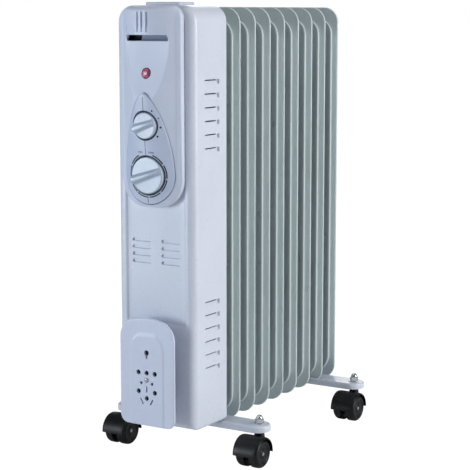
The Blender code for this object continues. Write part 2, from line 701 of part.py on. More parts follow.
def build_panel():
    name = "control_panel"
    shape = bmesh.new()
    heights = fascia_heights()
    columns = PANEL_COLUMNS
    rows = []
    for z in heights:
        half = fascia_half_width(z)
        row = []
        for i in range(columns + 1):
            x = half * (2 * i / columns - 1)
            row.append(shape.verts.new((x, -fascia_depth(x, z), z)))
        rows.append(row)
    for lower, upper in zip(rows, rows[1:]):
        for i in range(columns):
            shape.faces.new((lower[i], lower[i + 1], upper[i + 1], upper[i]))
    border = [edge for edge in shape.edges if edge.is_boundary]
    skirt = bmesh.ops.extrude_edge_only(shape, edges=border)["geom"]
    for item in skirt:
        if isinstance(item, bmesh.types.BMVert):
            item.co.y = -GAP
    mesh = finish_mesh(shape, name)
    panel = keep(name, mesh, PANEL_PLASTIC)
    panel.location.y = CASING_FRONT_Y
    bpy.context.view_layer.update()
    wall = panel.modifiers.new("wall", "SOLIDIFY")
    wall.thickness = PANEL_WALL
    wall.offset = -1
    cut(panel, block_mesh("trim", (-PANEL_HALF_WIDTH - OVERRUN, -GAP, PANEL_BOTTOM - OVERRUN),
                          (PANEL_HALF_WIDTH + OVERRUN, PANEL_TOP_DEPTH, PANEL_TOP + OVERRUN)), "trim")
    cut(panel, block_mesh("grip", (-GRIP_HALF_WIDTH, -PANEL_TOP_DEPTH - OVERRUN, GRIP_LOW),
                          (GRIP_HALF_WIDTH, -GAP - PANEL_WALL, GRIP_HIGH)), "grip")
    opening = upright_plate_mesh("dial", dial_outline(GAP), -PANEL_TOP_DEPTH - OVERRUN, 0)
    cut(panel, opening, "dial")
    cut(panel, rod_mesh("lamp", LENS_RADIUS + GAP, (0, -PANEL_TOP_DEPTH - OVERRUN, LAMP_Z),
                        (0, 0, LAMP_Z), 20), "lamp")


# Dial plate, knobs and lamp

def dial_outline(grow, sides=26):
    """Egg shape around the dials: a half circle below, a fuller curve that closes at the top."""
    points = []
    reach = DIAL_TOP - THERMOSTAT_Z + grow
    lobe = DIAL_LOBE_RADIUS + grow
    for i in range(sides):
        angle = math.tau * i / sides
        x = math.cos(angle)
        z = math.sin(angle)
        if z > 0:
            z = z ** DIAL_SHOULDER
            x = math.copysign((1 - z ** DIAL_POWER) ** DIAL_FULLNESS, x)
            points.append((lobe * x, THERMOSTAT_Z + reach * z))
        else:
            points.append((lobe * x, THERMOSTAT_Z + lobe * z))
    return points


def dial_shear(mesh):
    """Leans an upright plate along the slope of the fascia, keeping holes level."""
    slope = (PANEL_TOP_DEPTH - PANEL_LOW_DEPTH) / (PANEL_SLOPE_TOP - PANEL_BOTTOM)
    lean = Matrix.Identity(4)
    lean[1][2] = -slope
    lean[1][3] = slope * PANEL_BOTTOM
    mesh.transform(lean)
    return mesh


def build_dial_plate():
    front = -PANEL_LOW_DEPTH - DIAL_PROUD
    name = "dial_plate"
    plate = keep(name, dial_shear(upright_plate_mesh(name, dial_outline(0), front, front + DIAL_SKIRT)),
                 DIAL_PLASTIC)
    plate.location.y = CASING_FRONT_Y
    bpy.context.view_layer.update()
    hollow = upright_plate_mesh("hollow", dial_outline(-DIAL_WALL), front + DIAL_WALL,
                                front + DIAL_SKIRT + OVERRUN)
    cut(plate, dial_shear(hollow), "hollow")
    wells = [rod_mesh("well", radius + WELL_GAP, (0, -KNOB_REACH, height), (0, 0, height), 24)
             for height, radius in ((SELECTOR_Z, SELECTOR_RADIUS), (THERMOSTAT_Z, THERMOSTAT_RADIUS))]
    cut(plate, several("wells", wells), "wells")


def knob_face(height):
    """Depth of the dial plate's face in front of the casing at a knob's axis."""
    return dial_face_depth(height) + DIAL_PROUD


def build_knob(name, radius, height):
    """A skirted knob with a grip ridge; local Z points out of the panel, the shaft bore is blind."""
    top = KNOB_STAND
    profile = [(0, top), (radius - 2 * KNOB_EDGE, top), (radius - KNOB_EDGE / 2, top - KNOB_EDGE / 2),
               (radius, top - 2 * KNOB_EDGE), (radius, -KNOB_SINK), (0, -KNOB_SINK)]
    knob = turned(name, profile, KNOB_PLASTIC, 24)
    knob.location = (0, behind(-knob_face(height)), height)
    knob.rotation_euler.x = math.pi / 2
    bpy.context.view_layer.update()
    length = math.sqrt((radius - KNOB_EDGE) ** 2 - (RIDGE_WIDTH / 2) ** 2)
    ridge = block_mesh("ridge", (-length, -RIDGE_WIDTH / 2, top - 2 * KNOB_EDGE),
                       (length, RIDGE_WIDTH / 2, top + KNOB_RIDGE))
    ridge.transform(Matrix.Rotation(KNOB_REST_TILT, 4, "Z"))
    join(knob, ridge, "ridge")
    cut(knob, rod_mesh("bore", SHAFT_RADIUS + GAP, (0, 0, -KNOB_SINK - OVERRUN),
                       (0, 0, -KNOB_SINK + SHAFT_GRIP + GAP), 16), "bore")


def build_shaft(name, height, switch_front):
    rear = switch_front + SHAFT_SEAT + knob_face(height)
    shaft = keep(name, rod_mesh(name, SHAFT_RADIUS, (0, rear, 0), (0, KNOB_SINK - SHAFT_GRIP, 0), 16), ZINC)
    shaft.location = (0, behind(-knob_face(height)), height)


def build_lamp():
    face = fascia_depth(0, LAMP_Z)
    dome = [(0, LENS_PROUD), (LENS_RADIUS * 0.6, LENS_PROUD * 0.75), (LENS_RADIUS, 0),
            (LENS_RADIUS, -LENS_LENGTH), (LENS_RADIUS - LENS_WALL, -LENS_LENGTH),
            (LENS_RADIUS - LENS_WALL, -LENS_WALL), (0, -LENS_WALL)]
    lens = turned("indicator_lens", dome, LENS_PLASTIC, 20)
    lens.location = (0, behind(-face), LAMP_Z)
    lens.rotation_euler.x = math.pi / 2
    lamp = keep("indicator_lamp", rod_mesh("indicator_lamp", LAMP_RADIUS, (0, 0, -LENS_WALL - GAP * 2),
                                           (0, 0, -LENS_WALL - LAMP_LENGTH), 12), BAKELITE)
    lamp.location = lens.location
    lamp.rotation_euler.x = math.pi / 2


def build_top_cover():
    points = outline(CASING_HALF_WIDTH - COVER_SIDE, COVER_FRONT, CASING_DEPTH - COVER_MARGIN,
                     COVER_CORNER, COVER_CORNER)
    cover = keep("top_cover", plate_mesh("top_cover", points, COVER_HEIGHT), PANEL_PLASTIC)
    cover.location = (0, CASING_FRONT_Y, CASING_TOP + GAP + COVER_HEIGHT / 2)
    soften = cover.modifiers.new("edge", "BEVEL")
    soften.width = COVER_EDGE
    soften.segments = 1
    soften.limit_method = "ANGLE"
    soften.angle_limit = math.radians(60)


# Plug holder

def holder_outline():
    """Plate with a low arch across its top and rounded shoulders."""
    points = []
    lower = outline(HOLDER_HALF_WIDTH, HOLDER_BOTTOM, HOLDER_TOP - HOLDER_ARCH, HOLDER_BOTTOM_CORNER,
                    HOLDER_TOP_CORNER, 5)
    for x, z in lower:
        rise = HOLDER_ARCH * math.cos(math.pi / 2 * x / HOLDER_HALF_WIDTH)
        share = ease((z - HOLDER_BOTTOM) / (HOLDER_TOP - HOLDER_ARCH - HOLDER_BOTTOM) * 2 - 1)
        points.append((x, z + rise * share))
    middle = len(points) // 2
    crown = [(x * HOLDER_HALF_WIDTH, HOLDER_TOP - HOLDER_ARCH + HOLDER_ARCH * math.cos(math.pi / 2 * x))
             for x in (0.36, 0.18, 0, -0.18, -0.36)]
    return points[:middle] + crown + points[middle:]


def slot_outline(x, z, width, length, angle):
    """A straight slot as a turned rectangle."""
    corners = ((-width, -length), (width, -length), (width, length), (-width, length))
    turn = math.radians(angle)
    return [(x + (a * math.cos(turn) - b * math.sin(turn)) / 2,
             z + (a * math.sin(turn) + b * math.cos(turn)) / 2) for a, b in corners]


def keyhole_outline():
    """A round hole with a narrower tail below it."""
    z = HOLDER_POST_Z + KEYHOLE_RISE
    tail = SLOT_WIDTH / 2 + KEYHOLE_MARGIN
    opening = math.degrees(math.asin(tail / KEYHOLE_RADIUS)) * 2
    points = []
    for i in range(9):
        angle = math.radians(-90 + opening / 2 + (360 - opening) * i / 8)
        points.append((KEYHOLE_RADIUS * math.cos(angle), z + KEYHOLE_RADIUS * math.sin(angle)))
    return points + [(-tail, z - KEYHOLE_TAIL), (tail, z - KEYHOLE_TAIL)]


def holder_holes():
    """Round holes and slots for a plug's pins, grouped around the post."""
    z = HOLDER_POST_Z
    holes = [circle_points(side * PIN_SPREAD, z + rise, PIN_RADIUS, 10)
             for side in (-1, 1) for rise in (PIN_RISE, -PIN_DROP)]
    holes += [circle_points(0, z + rise, PIN_RADIUS, 10) for rise in (PIN_RISE, -FOOT_PIN_DROP)]
    holes += [circle_points(side * SIDE_PIN_SPREAD, z - SIDE_PIN_DROP, SIDE_PIN_RADIUS, 8)
              for side in (-1, 1)]
    holes += [slot_outline(side * SLANT_SPREAD, z - SLANT_DROP, SLOT_WIDTH, SLOT_LENGTH, -side * SLANT_ANGLE)
              for side in (-1, 1)]
    holes.append(slot_outline(0, z - SLOT_DROP, SLOT_WIDTH, SLOT_LENGTH, 0))
    holes.append(keyhole_outline())
    return holes


def build_plug_holder():
    name = "plug_holder"
    front = -HOLDER_STAND - HOLDER_THICKNESS
    mesh = upright_plate_mesh(name, holder_outline(), front, -HOLDER_STAND, holder_holes())
    holder = keep(name, mesh, PANEL_PLASTIC)
    holder.location.y = CASING_FRONT_Y
    bpy.context.view_layer.update()
    post = upright_plate_mesh("post", post_outline(), -HOLDER_STAND - HOLDER_THICKNESS / 2, -GAP)
    join(holder, post, "post")
    cut(holder, rod_mesh("screw", HOLDER_SCREW_RADIUS + GAP, (0, front - OVERRUN, HOLDER_POST_Z),
                         (0, OVERRUN, HOLDER_POST_Z), 12), "bore")
    tip = -HOLDER_STAND - HOLDER_THICKNESS - SCREW_ANCHOR
    head = [(0, SCREW_HEAD_HEIGHT), (SCREW_HEAD_RADIUS * 0.75, SCREW_HEAD_HEIGHT * 0.8),
            (SCREW_HEAD_RADIUS, SCREW_HEAD_HEIGHT / 4), (SCREW_HEAD_RADIUS, 0), (HOLDER_SCREW_RADIUS, 0),
            (HOLDER_SCREW_RADIUS, tip), (0, tip)]
    screw = turned("plug_holder_screw", head, ZINC, 12)
    screw.location = (0, behind(front - GAP), HOLDER_POST_Z)
    screw.rotation_euler.x = math.pi / 2


def post_outline():
    """The standing post behind the plate, kept clear of the pin holes around it."""
    return circle_points(0, HOLDER_POST_Z, HOLDER_POST_RADIUS, 16)


# Feet

def stadium(half_length, half_width, height, steps=5):
    """A slot-shaped ring lying at a height."""
    points = []
    straight = half_length - half_width
    for side, start in ((1, -90), (-1, 90)):
        for step in range(steps + 1):
            angle = math.radians(start + 180 * step / steps)
            points.append((side * straight + half_width * math.cos(angle),
                           half_width * math.sin(angle), height))
    return points


def build_bracket(name, number):
    low = BRACKET_TOP - BRACKET_SKIRT
    rounding = BRACKET_WALL

    def level(inward, height):
        return stadium(BRACKET_HALF_LENGTH - inward, BRACKET_HALF_WIDTH - inward, height)

    rings = [level(2 * BRACKET_WALL, BRACKET_TOP - BRACKET_WALL),
             level(BRACKET_WALL, BRACKET_TOP - 2 * BRACKET_WALL), level(BRACKET_WALL, low), level(0, low),
             level(0, BRACKET_TOP - rounding), level(0.3 * rounding, BRACKET_TOP - 0.3 * rounding),
             level(rounding, BRACKET_TOP)]
    bracket = keep(name, loft_mesh(name, rings), CASING_PAINT)
    middle = bracket_depth(number)
    bracket.location.y = behind(middle)
    bpy.context.view_layer.update()
    holes = [rod_mesh("stem", STEM_RADIUS + GAP, (side * CASTER_X, 0, low), (side * CASTER_X, 0,
                      BRACKET_TOP + OVERRUN), 16) for side in (-1, 1)]
    holes += [rod_mesh("bolt", CLAMP_BOLT_RADIUS + GAP, (side * CLAMP_REACH, 0, low),
                       (side * CLAMP_REACH, 0, BRACKET_TOP + OVERRUN), 16) for side in (-1, 1)]
    cut(bracket, several("holes", holes), "holes")
    rim = FIN_SPREAD - ELEMENT_PITCH / 2
    reach = FIN_HALF_WIDTH + BRACKET_SLOT_MARGIN
    cut(bracket, block_mesh("slot", (-reach, rim - FIN_LIP - GAP, low - OVERRUN),
                            (reach, rim + FIN_LIP + GAP, BRACKET_TOP + OVERRUN)), "slot")


def bracket_depth(number):
    """Middle of a bracket: it lies under the gap between two elements, and the first one's rear
    rim stands in its slot."""
    return ELEMENT_FIRST + (number - 0.5) * ELEMENT_PITCH


def tube_mesh(name, points, radius, sides_level=2):
    """A bevelled curve as a closed mesh."""
    curve = bpy.data.curves.new(name, "CURVE")
    curve.dimensions = "3D"
    curve.bevel_depth = radius
    curve.bevel_resolution = sides_level
    curve.use_fill_caps = True
    line = curve.splines.new("POLY")
    line.points.add(len(points) - 1)
    for point, place in zip(line.points, points):
        point.co = (*place, 1)
    holder = bpy.data.objects.new(name, curve)
    bpy.context.scene.collection.objects.link(holder)
    bpy.context.view_layer.update()
    tube = bpy.data.meshes.new_from_object(holder.evaluated_get(bpy.context.evaluated_depsgraph_get()))
    bpy.data.objects.remove(holder)
    shape = bmesh.new()
    shape.from_mesh(tube)
    bmesh.ops.remove_doubles(shape, verts=shape.verts, dist=TINY)
    bpy.data.meshes.remove(tube)
    return finish_mesh(shape, name)


def build_clamp(place, number):
    """U-bolt over an oil collar, its legs through the bracket, with a nut under each."""
    reach = CLAMP_REACH
    web = BRACKET_TOP - BRACKET_WALL
    end = web - GAP - CLAMP_NUT_HEIGHT - CLAMP_BOLT_TAIL
    arc = [(reach * math.cos(math.pi * i / 12), 0, COLLAR_Z + reach * math.sin(math.pi * i / 12))
           for i in range(13)]
    points = [(reach, 0, end)] + arc + [(-reach, 0, end)]
    name = f"clamp_bolt_{place}"
    bolt = keep(name, tube_mesh(name, points, CLAMP_BOLT_RADIUS), ZINC)
    bolt.location.y = behind(bracket_depth(number))
    for side, word in ((-1, "left"), (1, "right")):
        name = f"clamp_nut_{place}_{word}"
        nut = keep(name, rod_mesh(name, CLAMP_NUT_RADIUS, (0, 0, -CLAMP_NUT_HEIGHT), (0, 0, 0), 6), ZINC)
        nut.location = (side * reach, bolt.location.y, web - GAP)
        bpy.context.view_layer.update()
        cut(nut, rod_mesh("thread", CLAMP_BOLT_RADIUS + GAP, (0, 0, -CLAMP_NUT_HEIGHT - OVERRUN),
                          (0, 0, OVERRUN), 12), "thread")


# Casters

def build_caster(place, x, depth):
    """Twin wheels on one axle under a half-round hood, which swivels on an upright stem."""
    pivot = bpy.data.objects.new(f"caster_{place}", None)
    PARTS.objects.link(pivot)
    pivot.location = (x, behind(depth), 0)
    bpy.context.view_layer.update()
    axle_at = Vector((0, -CASTER_TRAIL, WHEEL_RADIUS))
    name = f"caster_{place}_hood"
    across = Vector((HOOD_HALF_WIDTH, 0, 0))
    hood = keep(name, rod_mesh(name, HOOD_RADIUS, axle_at - across, axle_at + across, HOOD_SIDES),
                CASTER_PLASTIC)
    hood.parent = pivot
    bpy.context.view_layer.update()
    beyond = HOOD_HALF_WIDTH + OVERRUN
    reach = HOOD_RADIUS + OVERRUN
    lower = block_mesh("lower", (-beyond, axle_at.y - reach, -OVERRUN),
                       (beyond, axle_at.y + reach, WHEEL_RADIUS - HOOD_LIFT))
    cut(hood, lower, "lower")
    join(hood, rod_mesh("web", WEB_RADIUS, axle_at - Vector((WEB_HALF_WIDTH, 0, 0)),
                        axle_at + Vector((WEB_HALF_WIDTH, 0, 0)), 12), "web")
    join(hood, rod_mesh("neck", NECK_RADIUS, (0, 0, NECK_TOP - NECK_LENGTH - NECK_SINK),
                        (0, 0, NECK_TOP), 12), "neck")
    wells = [rod_mesh("well", WHEEL_RADIUS + HOOD_GAP, axle_at + Vector((side * WEB_HALF_WIDTH, 0, 0)),
                      axle_at + Vector((side * beyond, 0, 0)), HOOD_SIDES) for side in (-1, 1)]
    cut(hood, several("wells", wells), "wells")
    bores = [rod_mesh("axle", AXLE_RADIUS + GAP, axle_at - Vector((beyond, 0, 0)),
                      axle_at + Vector((beyond, 0, 0)), 12),
             rod_mesh("stem", STEM_RADIUS + RUNNING_GAP, (0, 0, NECK_TOP - STEM_BORE_DEPTH),
                      (0, 0, NECK_TOP + OVERRUN), 12)]
    cut(hood, several("bores", bores), "bores")

    name = f"caster_{place}_axle"
    axle = keep(name, rod_mesh(name, AXLE_RADIUS, (-AXLE_HALF_LENGTH, 0, 0), (AXLE_HALF_LENGTH, 0, 0), 12),
                ZINC)
    axle.parent = pivot
    axle.location = axle_at

    bore = AXLE_RADIUS + RUNNING_GAP
    edge = WHEEL_THICKNESS
    profile = [(bore, edge - WHEEL_RECESS), (WHEEL_RADIUS - WHEEL_DISH, edge - WHEEL_RECESS),
               (WHEEL_RADIUS - WHEEL_RIM, edge), (WHEEL_RADIUS - WHEEL_FACE, edge),
               (WHEEL_RADIUS - WHEEL_SHOULDER, edge - WHEEL_RECESS),
               (WHEEL_RADIUS, edge - WHEEL_FACE - WHEEL_SHOULDER / 2), (WHEEL_RADIUS, WHEEL_SHOULDER),
               (WHEEL_RADIUS - WHEEL_SHOULDER, 0), (bore, 0)]
    for side, word in ((-1, "left"), (1, "right")):
        wheel = turned(f"caster_{place}_wheel_{word}", profile, CASTER_PLASTIC, WHEEL_STEPS, True)
        wheel.parent = pivot
        wheel.location = axle_at + Vector((side * WHEEL_INNER, 0, 0))
        wheel.rotation_euler.y = side * math.pi / 2

    web = BRACKET_TOP - BRACKET_WALL
    tip = BRACKET_TOP + NUT_HEIGHT - NUT_ROOF - 2 * GAP
    stem_profile = [(0, tip), (STEM_RADIUS, tip), (STEM_RADIUS, web - GAP), (STEM_COLLAR, web - GAP),
                    (STEM_COLLAR, NECK_TOP + GAP),
                    (STEM_RADIUS, NECK_TOP + GAP), (STEM_RADIUS, NECK_TOP - STEM_BORE_DEPTH + 2 * GAP),
                    (0, NECK_TOP - STEM_BORE_DEPTH + 2 * GAP)]
    stem = turned(f"caster_{place}_stem", stem_profile, ZINC, 12)
    stem.location = (x, behind(depth), 0)

    shoulder = NUT_HEIGHT - NUT_DOME_RADIUS
    dome = [(NUT_DOME_RADIUS * math.sin(math.pi / 2 * i / 3), shoulder +
             NUT_DOME_RADIUS * math.cos(math.pi / 2 * i / 3)) for i in range(4)]
    dome[0] = (0, NUT_HEIGHT)
    nut_profile = dome + [(NUT_DOME_RADIUS, NUT_FLANGE), (NUT_FLANGE_RADIUS, NUT_FLANGE),
                          (NUT_FLANGE_RADIUS, 0), (0, 0)]
    nut = turned(f"caster_{place}_nut", nut_profile, CHROME, 12)
    nut.location = (x, behind(depth), BRACKET_TOP + GAP)
    bpy.context.view_layer.update()
    join(nut, rod_mesh("hex", NUT_RADIUS, (0, 0, NUT_FLANGE / 2), (0, 0, NUT_FLANGE + NUT_HEX_HEIGHT), 6),
         "hex")
    cut(nut, rod_mesh("thread", STEM_RADIUS + GAP, (0, 0, -OVERRUN), (0, 0, NUT_HEIGHT - NUT_ROOF), 12),
        "thread")


# Pieces inside the casing

def build_inside():
    half = CASING_HALF_WIDTH - CASING_WALL - GAP
    front = CASING_EDGE + CASING_WALL
    back = PLATE_DEPTH + PLATE_WALL
    points = [(-half, front), (-half + PLATE_WALL, front), (-half + PLATE_WALL, PLATE_DEPTH),
              (half - PLATE_WALL, PLATE_DEPTH), (half - PLATE_WALL, front), (half, front), (half, back),
              (-half, back)]
    plate = keep("mounting_plate", plate_mesh("mounting_plate", points, PLATE_HIGH - PLATE_LOW), ZINC)
    plate.location = (0, CASING_FRONT_Y, (PLATE_HIGH + PLATE_LOW) / 2)

    sizes = (("rotary_switch", (SWITCH_WIDTH, SWITCH_DEPTH, SWITCH_HEIGHT), SELECTOR_Z),
             ("thermostat_body", (THERMOSTAT_WIDTH, THERMOSTAT_DEPTH, THERMOSTAT_HEIGHT), THERMOSTAT_Z))
    for name, size, height in sizes:
        rear = PLATE_DEPTH - GAP
        body = keep(name, block_mesh(name, (-size[0] / 2, rear - size[1], -size[2] / 2),
                                     (size[0] / 2, rear, size[2] / 2)), BAKELITE)
        body.location = (0, CASING_FRONT_Y, height)
        bpy.context.view_layer.update()
        cut(body, rod_mesh("seat", SHAFT_RADIUS + RUNNING_GAP, (0, rear - size[1] - OVERRUN, 0),
                           (0, rear - size[1] + SHAFT_SEAT + GAP, 0), 16), "seat")

    start = PLATE_DEPTH + PLATE_WALL + GAP
    cutout = keep("thermal_cutout", rod_mesh("thermal_cutout", CUTOUT_RADIUS, (0, start, 0),
                                             (0, start + CUTOUT_DEPTH, 0), 16), BAKELITE)
    cutout.location = (CUTOUT_X, CASING_FRONT_Y, PLATE_HIGH - CUTOUT_DROP)

    low = (-half, front, -BLOCK_HEIGHT / 2)
    high = (-half + BLOCK_THICKNESS, front + BLOCK_LENGTH, BLOCK_HEIGHT / 2)
    block = keep("terminal_block", block_mesh("terminal_block", low, high), CERAMIC)
    block.location = (0, CASING_FRONT_Y, BLOCK_Z)

    gland_profile = [(GLAND_BORE, GLAND_SLEEVE), (GLAND_RADIUS, GLAND_SLEEVE), (GLAND_RADIUS, -GAP),
                     (GLAND_FLANGE, -GAP), (GLAND_FLANGE - GLAND_BEVEL, -GLAND_LIP),
                     (GLAND_BORE, -GLAND_LIP)]
    gland = turned("cord_gland", gland_profile, CASTER_PLASTIC, 20, True)
    gland.location = (GLAND_X, behind(GLAND_Y), CASING_BOTTOM)
    build_heater()


def build_heater():
    """Screw-in immersion heater: a hairpin rod along the lower bores, with its hexagon outside."""
    seat = HEATER_NECK_END - GAP
    far = LAST_ELEMENT - HEATER_ROD_MARGIN
    side = HEATER_ROD_OFFSET
    bend = [(side * math.cos(math.pi * i / 6), far + side * math.sin(math.pi * i / 6) - side, 0)
            for i in range(7)]
    points = [(side, seat - HEATER_HEX_DEPTH / 2, 0)] + bend + [(-side, seat - HEATER_HEX_DEPTH / 2, 0)]
    name = "heating_element"
    heater = keep(name, rod_mesh(name, COLLAR_RADIUS + HEATER_HEX_EDGE, (0, seat - HEATER_HEX_DEPTH, 0),
                                 (0, seat, 0), 6), ZINC)
    heater.location = (0, CASING_FRONT_Y, COLLAR_Z)
    bpy.context.view_layer.update()
    join(heater, tube_mesh("hairpin", points, HEATER_ROD_RADIUS), "hairpin")
    pins = [rod_mesh("pin", HEATER_PIN_RADIUS, (x * 2, seat - HEATER_HEX_DEPTH - HEATER_PIN_LENGTH, 0),
                     (x * 2, seat - HEATER_HEX_DEPTH / 2, 0), 8) for x in (-side, side)]
    join(heater, several("pins", pins), "pins")


build_elements()
build_casing()
build_panel()
build_dial_plate()
for knob, radius, height, deep in (("selector", SELECTOR_RADIUS, SELECTOR_Z, SWITCH_DEPTH),
                                   ("thermostat", THERMOSTAT_RADIUS, THERMOSTAT_Z, THERMOSTAT_DEPTH)):
    build_knob(f"{knob}_knob", radius, height)
    build_shaft(f"{knob}_shaft", height, PLATE_DEPTH - GAP - deep)
build_lamp()
build_top_cover()
build_plug_holder()
for place, number in (("front", FRONT_BRACKET_ELEMENT), ("rear", REAR_BRACKET_ELEMENT)):
    build_bracket(f"foot_bracket_{place}", number)
    build_clamp(place, number)
    for side, word in ((-1, "left"), (1, "right")):
        build_caster(f"{place}_{word}", side * CASTER_X, bracket_depth(number))
build_inside()
for made in PARTS.objects:
    if made.type == "MESH":
        smooth(made)
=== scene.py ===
"""Oil filled column radiator: pressed steel oil elements, a control casing with a plastic panel,
dials and a lamp, a plug holder, foot brackets and twin-wheel casters.

Metres, +Z up, the panel faces -Y. Each piece is a surface worked out with numpy, most of them a
grid of points whose rows run up the piece, or around it, and are closed into a skin.
"""
import math

import bmesh
import bpy
import numpy as np
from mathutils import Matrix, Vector


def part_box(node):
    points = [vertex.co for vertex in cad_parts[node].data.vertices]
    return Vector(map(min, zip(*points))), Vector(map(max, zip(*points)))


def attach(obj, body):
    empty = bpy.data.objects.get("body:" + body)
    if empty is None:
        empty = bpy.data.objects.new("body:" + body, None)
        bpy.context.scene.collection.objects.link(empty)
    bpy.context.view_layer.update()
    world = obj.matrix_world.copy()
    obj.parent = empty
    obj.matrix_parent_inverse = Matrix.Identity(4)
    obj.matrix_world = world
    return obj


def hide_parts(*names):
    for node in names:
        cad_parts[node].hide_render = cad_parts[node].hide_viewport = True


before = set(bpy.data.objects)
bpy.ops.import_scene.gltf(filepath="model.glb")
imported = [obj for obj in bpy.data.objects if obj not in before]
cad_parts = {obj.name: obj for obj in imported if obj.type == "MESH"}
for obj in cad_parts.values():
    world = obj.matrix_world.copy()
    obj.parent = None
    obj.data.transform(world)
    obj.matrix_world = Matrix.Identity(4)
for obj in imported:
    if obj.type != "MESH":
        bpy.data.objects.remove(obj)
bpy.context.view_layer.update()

PI = math.pi
GAP = 0.0003

# Casing
CASING_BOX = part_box("control_casing")
FRONT = CASING_BOX[0].y
CASING_HALF = CASING_BOX[1].x
CASING_LOW = CASING_BOX[0].z
CASING_HIGH = CASING_BOX[1].z
CASING_DEPTH = CASING_BOX[1].y - FRONT
CASING_EDGE = 0.011
CASING_TOP_CORNER = 0.022
CASING_LOW_CORNER = 0.004
CASING_WALL = 0.0012
FLOOR_OPENING = 0.0425
RECESS_HALF = 0.048
RECESS_LOW = CASING_LOW + 0.1395
RECESS_HIGH = CASING_HIGH - 0.0254
RECESS_DEPTH = 0.0019
RECESS_SLOPE = 0.0042
VENT_ROWS = 4
VENT_LOW = CASING_LOW + 0.2225
VENT_PITCH = 0.0097
VENT_HEIGHT = 0.0042
VENT_HALF_LENGTH = 0.015
VENT_X = 0.0235
VENT_DEPTH = 0.0022
LOUVRE_LOWS = (CASING_LOW + 0.0735, CASING_HIGH - 0.1955)
LOUVRE_ROWS = 6
LOUVRE_PITCH = 0.0180
LOUVRE_HEIGHT = 0.009
LOUVRE_START = 0.026
LOUVRE_END = 0.062
LOUVRE_DEPTH = 0.0021
SLIT_HEIGHT = 0.0015

# Panel
PANEL_HALF = CASING_HALF - 0.0140
PANEL_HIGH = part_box("control_panel")[1].z
PANEL_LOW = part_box("control_panel")[0].z
PANEL_TOP_CORNER = 0.016
PANEL_LOW_CORNER = 0.038
PANEL_WALL = 0.0024
RIM_DEPTH = 0.005
TOP_DEPTH = 0.026
LOW_DEPTH = 0.0135
SLOPE_TOP = PANEL_HIGH - 0.114
CROWN_SPAN = PANEL_HALF - 0.006
CROWN_SHOULDER = 0.25
EDGE_ROUND = 0.006
EDGE_FALL = 0.62
GRIP_HIGH = PANEL_HIGH - 0.0365
GRIP_LOW = GRIP_HIGH - 0.008
GRIP_HALF = 0.032
BAR_BACK = 0.0215
LEDGE = 0.0006
BAR_GROOVES = (-0.0088, -0.0018, 0.0060)
FUNNEL_LOW = PANEL_HIGH - 0.125
FUNNEL_TOP_HALF = 0.033
FUNNEL_LOW_HALF = 0.019
FUNNEL_SLOPE = 0.008
FUNNEL_FLOOR = 0.015
# Where the painted shadow at the grip's left end meets the grey painted shade.
GRIP_SHADOW_SPLIT = -0.0145
# Thickness of the painted shade sheet in the grip's pocket.
GRIP_SHADE_SHEET = 0.0003

# Dials and lamp
SELECTOR_Z = PANEL_HIGH - 0.154
SELECTOR_RADIUS = 0.0175
THERMOSTAT_Z = PANEL_HIGH - 0.220
THERMOSTAT_RADIUS = 0.0245
KNOB_SINK = 0.005
KNOB_STAND = 0.001
KNOB_RIDGE = 0.0052
KNOB_TILT = math.radians(18)
KNOB_BEVEL = 0.0016
POINT_REACH = 0.0030
POINT_ROOM = 0.0028
WELL_GAP = 0.0014
DIAL_PROUD = 0.0012
DIAL_SKIRT = 0.0085
DIAL_LOBE = THERMOSTAT_RADIUS + 0.014
DIAL_TOP = PANEL_HIGH - 0.1115
DIAL_SEAM = 0.0010
LAMP_Z = PANEL_HIGH - 0.086
LENS_RADIUS = 0.0062
KNOBS = (("selector", SELECTOR_RADIUS, SELECTOR_Z), ("thermostat", THERMOSTAT_RADIUS, THERMOSTAT_Z))

# Print on the dial plate
INK_PROUD = 0.00012
ARC_RADIUS = 0.0288
ARC_WIDTH = 0.0017
ARC_DASHES = 8
DASH_START = 70.0
DASH_PITCH = 39.9
DASH_SPAN = 35.9
MARK_REACH = 0.0232
MARKS = ((57.7, 0.0012), (26.2, 0.0009), (-4.4, 0.0013), (-36.6, 0.0013))
RING_REACH = WELL_GAP + 0.0005
RING_WIDTH = 0.0011
LINE_X = -0.0005
LINE_GAP = 0.0018
WORD_SIZE = 0.0050
WORD_RISE = 0.0296

# Oil elements
ELEMENT_COUNT = 9
ELEMENT_PITCH = 0.0403
ELEMENT_FIRST = 0.0675
FIN_HALF = 0.0605
FIN_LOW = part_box("oil_element_1")[0].z
FIN_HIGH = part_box("oil_element_1")[1].z
FIN_CORNER = 0.023
FIN_SPREAD = 0.010
FIN_BEAD = 0.0016
FRONT_SHEET_INSET = 0.0165
SHEET = 0.0006
COLLAR_RADIUS = 0.019
COLLAR_HEIGHTS = (FIN_LOW + 0.061, FIN_HIGH - 0.061)
CHANNEL_FACE = 0.006

# Plug holder
HOLDER_HALF = 0.044
HOLDER_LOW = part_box("plug_holder")[0].z
HOLDER_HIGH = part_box("plug_holder")[1].z
HOLDER_STAND = 0.020
HOLDER_THICKNESS = 0.0035
HOLDER_ARCH = 0.008
HOLDER_TOP_CORNER = 0.020
HOLDER_LOW_CORNER = 0.012
POST_Z = HOLDER_LOW + 0.063
POST_RADIUS = 0.0048
HOLDER_ROUND = 0.0022
FIELD_RISE = 0.0007
PIN_RADIUS = 0.0034
PIN_SLOT_HALF = 0.0011
PIN_SLOT_REACH = 0.0034
KEYHOLE_RISE = 0.0375

# Feet
BRACKET_TOP = 0.056
BRACKET_HALF_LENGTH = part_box("foot_bracket_front")[1].x
BRACKET_HALF_WIDTH = 0.01825
BRACKET_SKIRT = 0.009
BRACKET_WALL = 0.0015
WHEEL_RADIUS = 0.020
HOOD_RADIUS = 0.0234
HOOD_HALF = 0.019
AXLE_TRAIL = 0.0175
WHEEL_INNER = 0.0036
WHEEL_THICK = 0.0142
NUT_HALF_FLATS = 0.0055

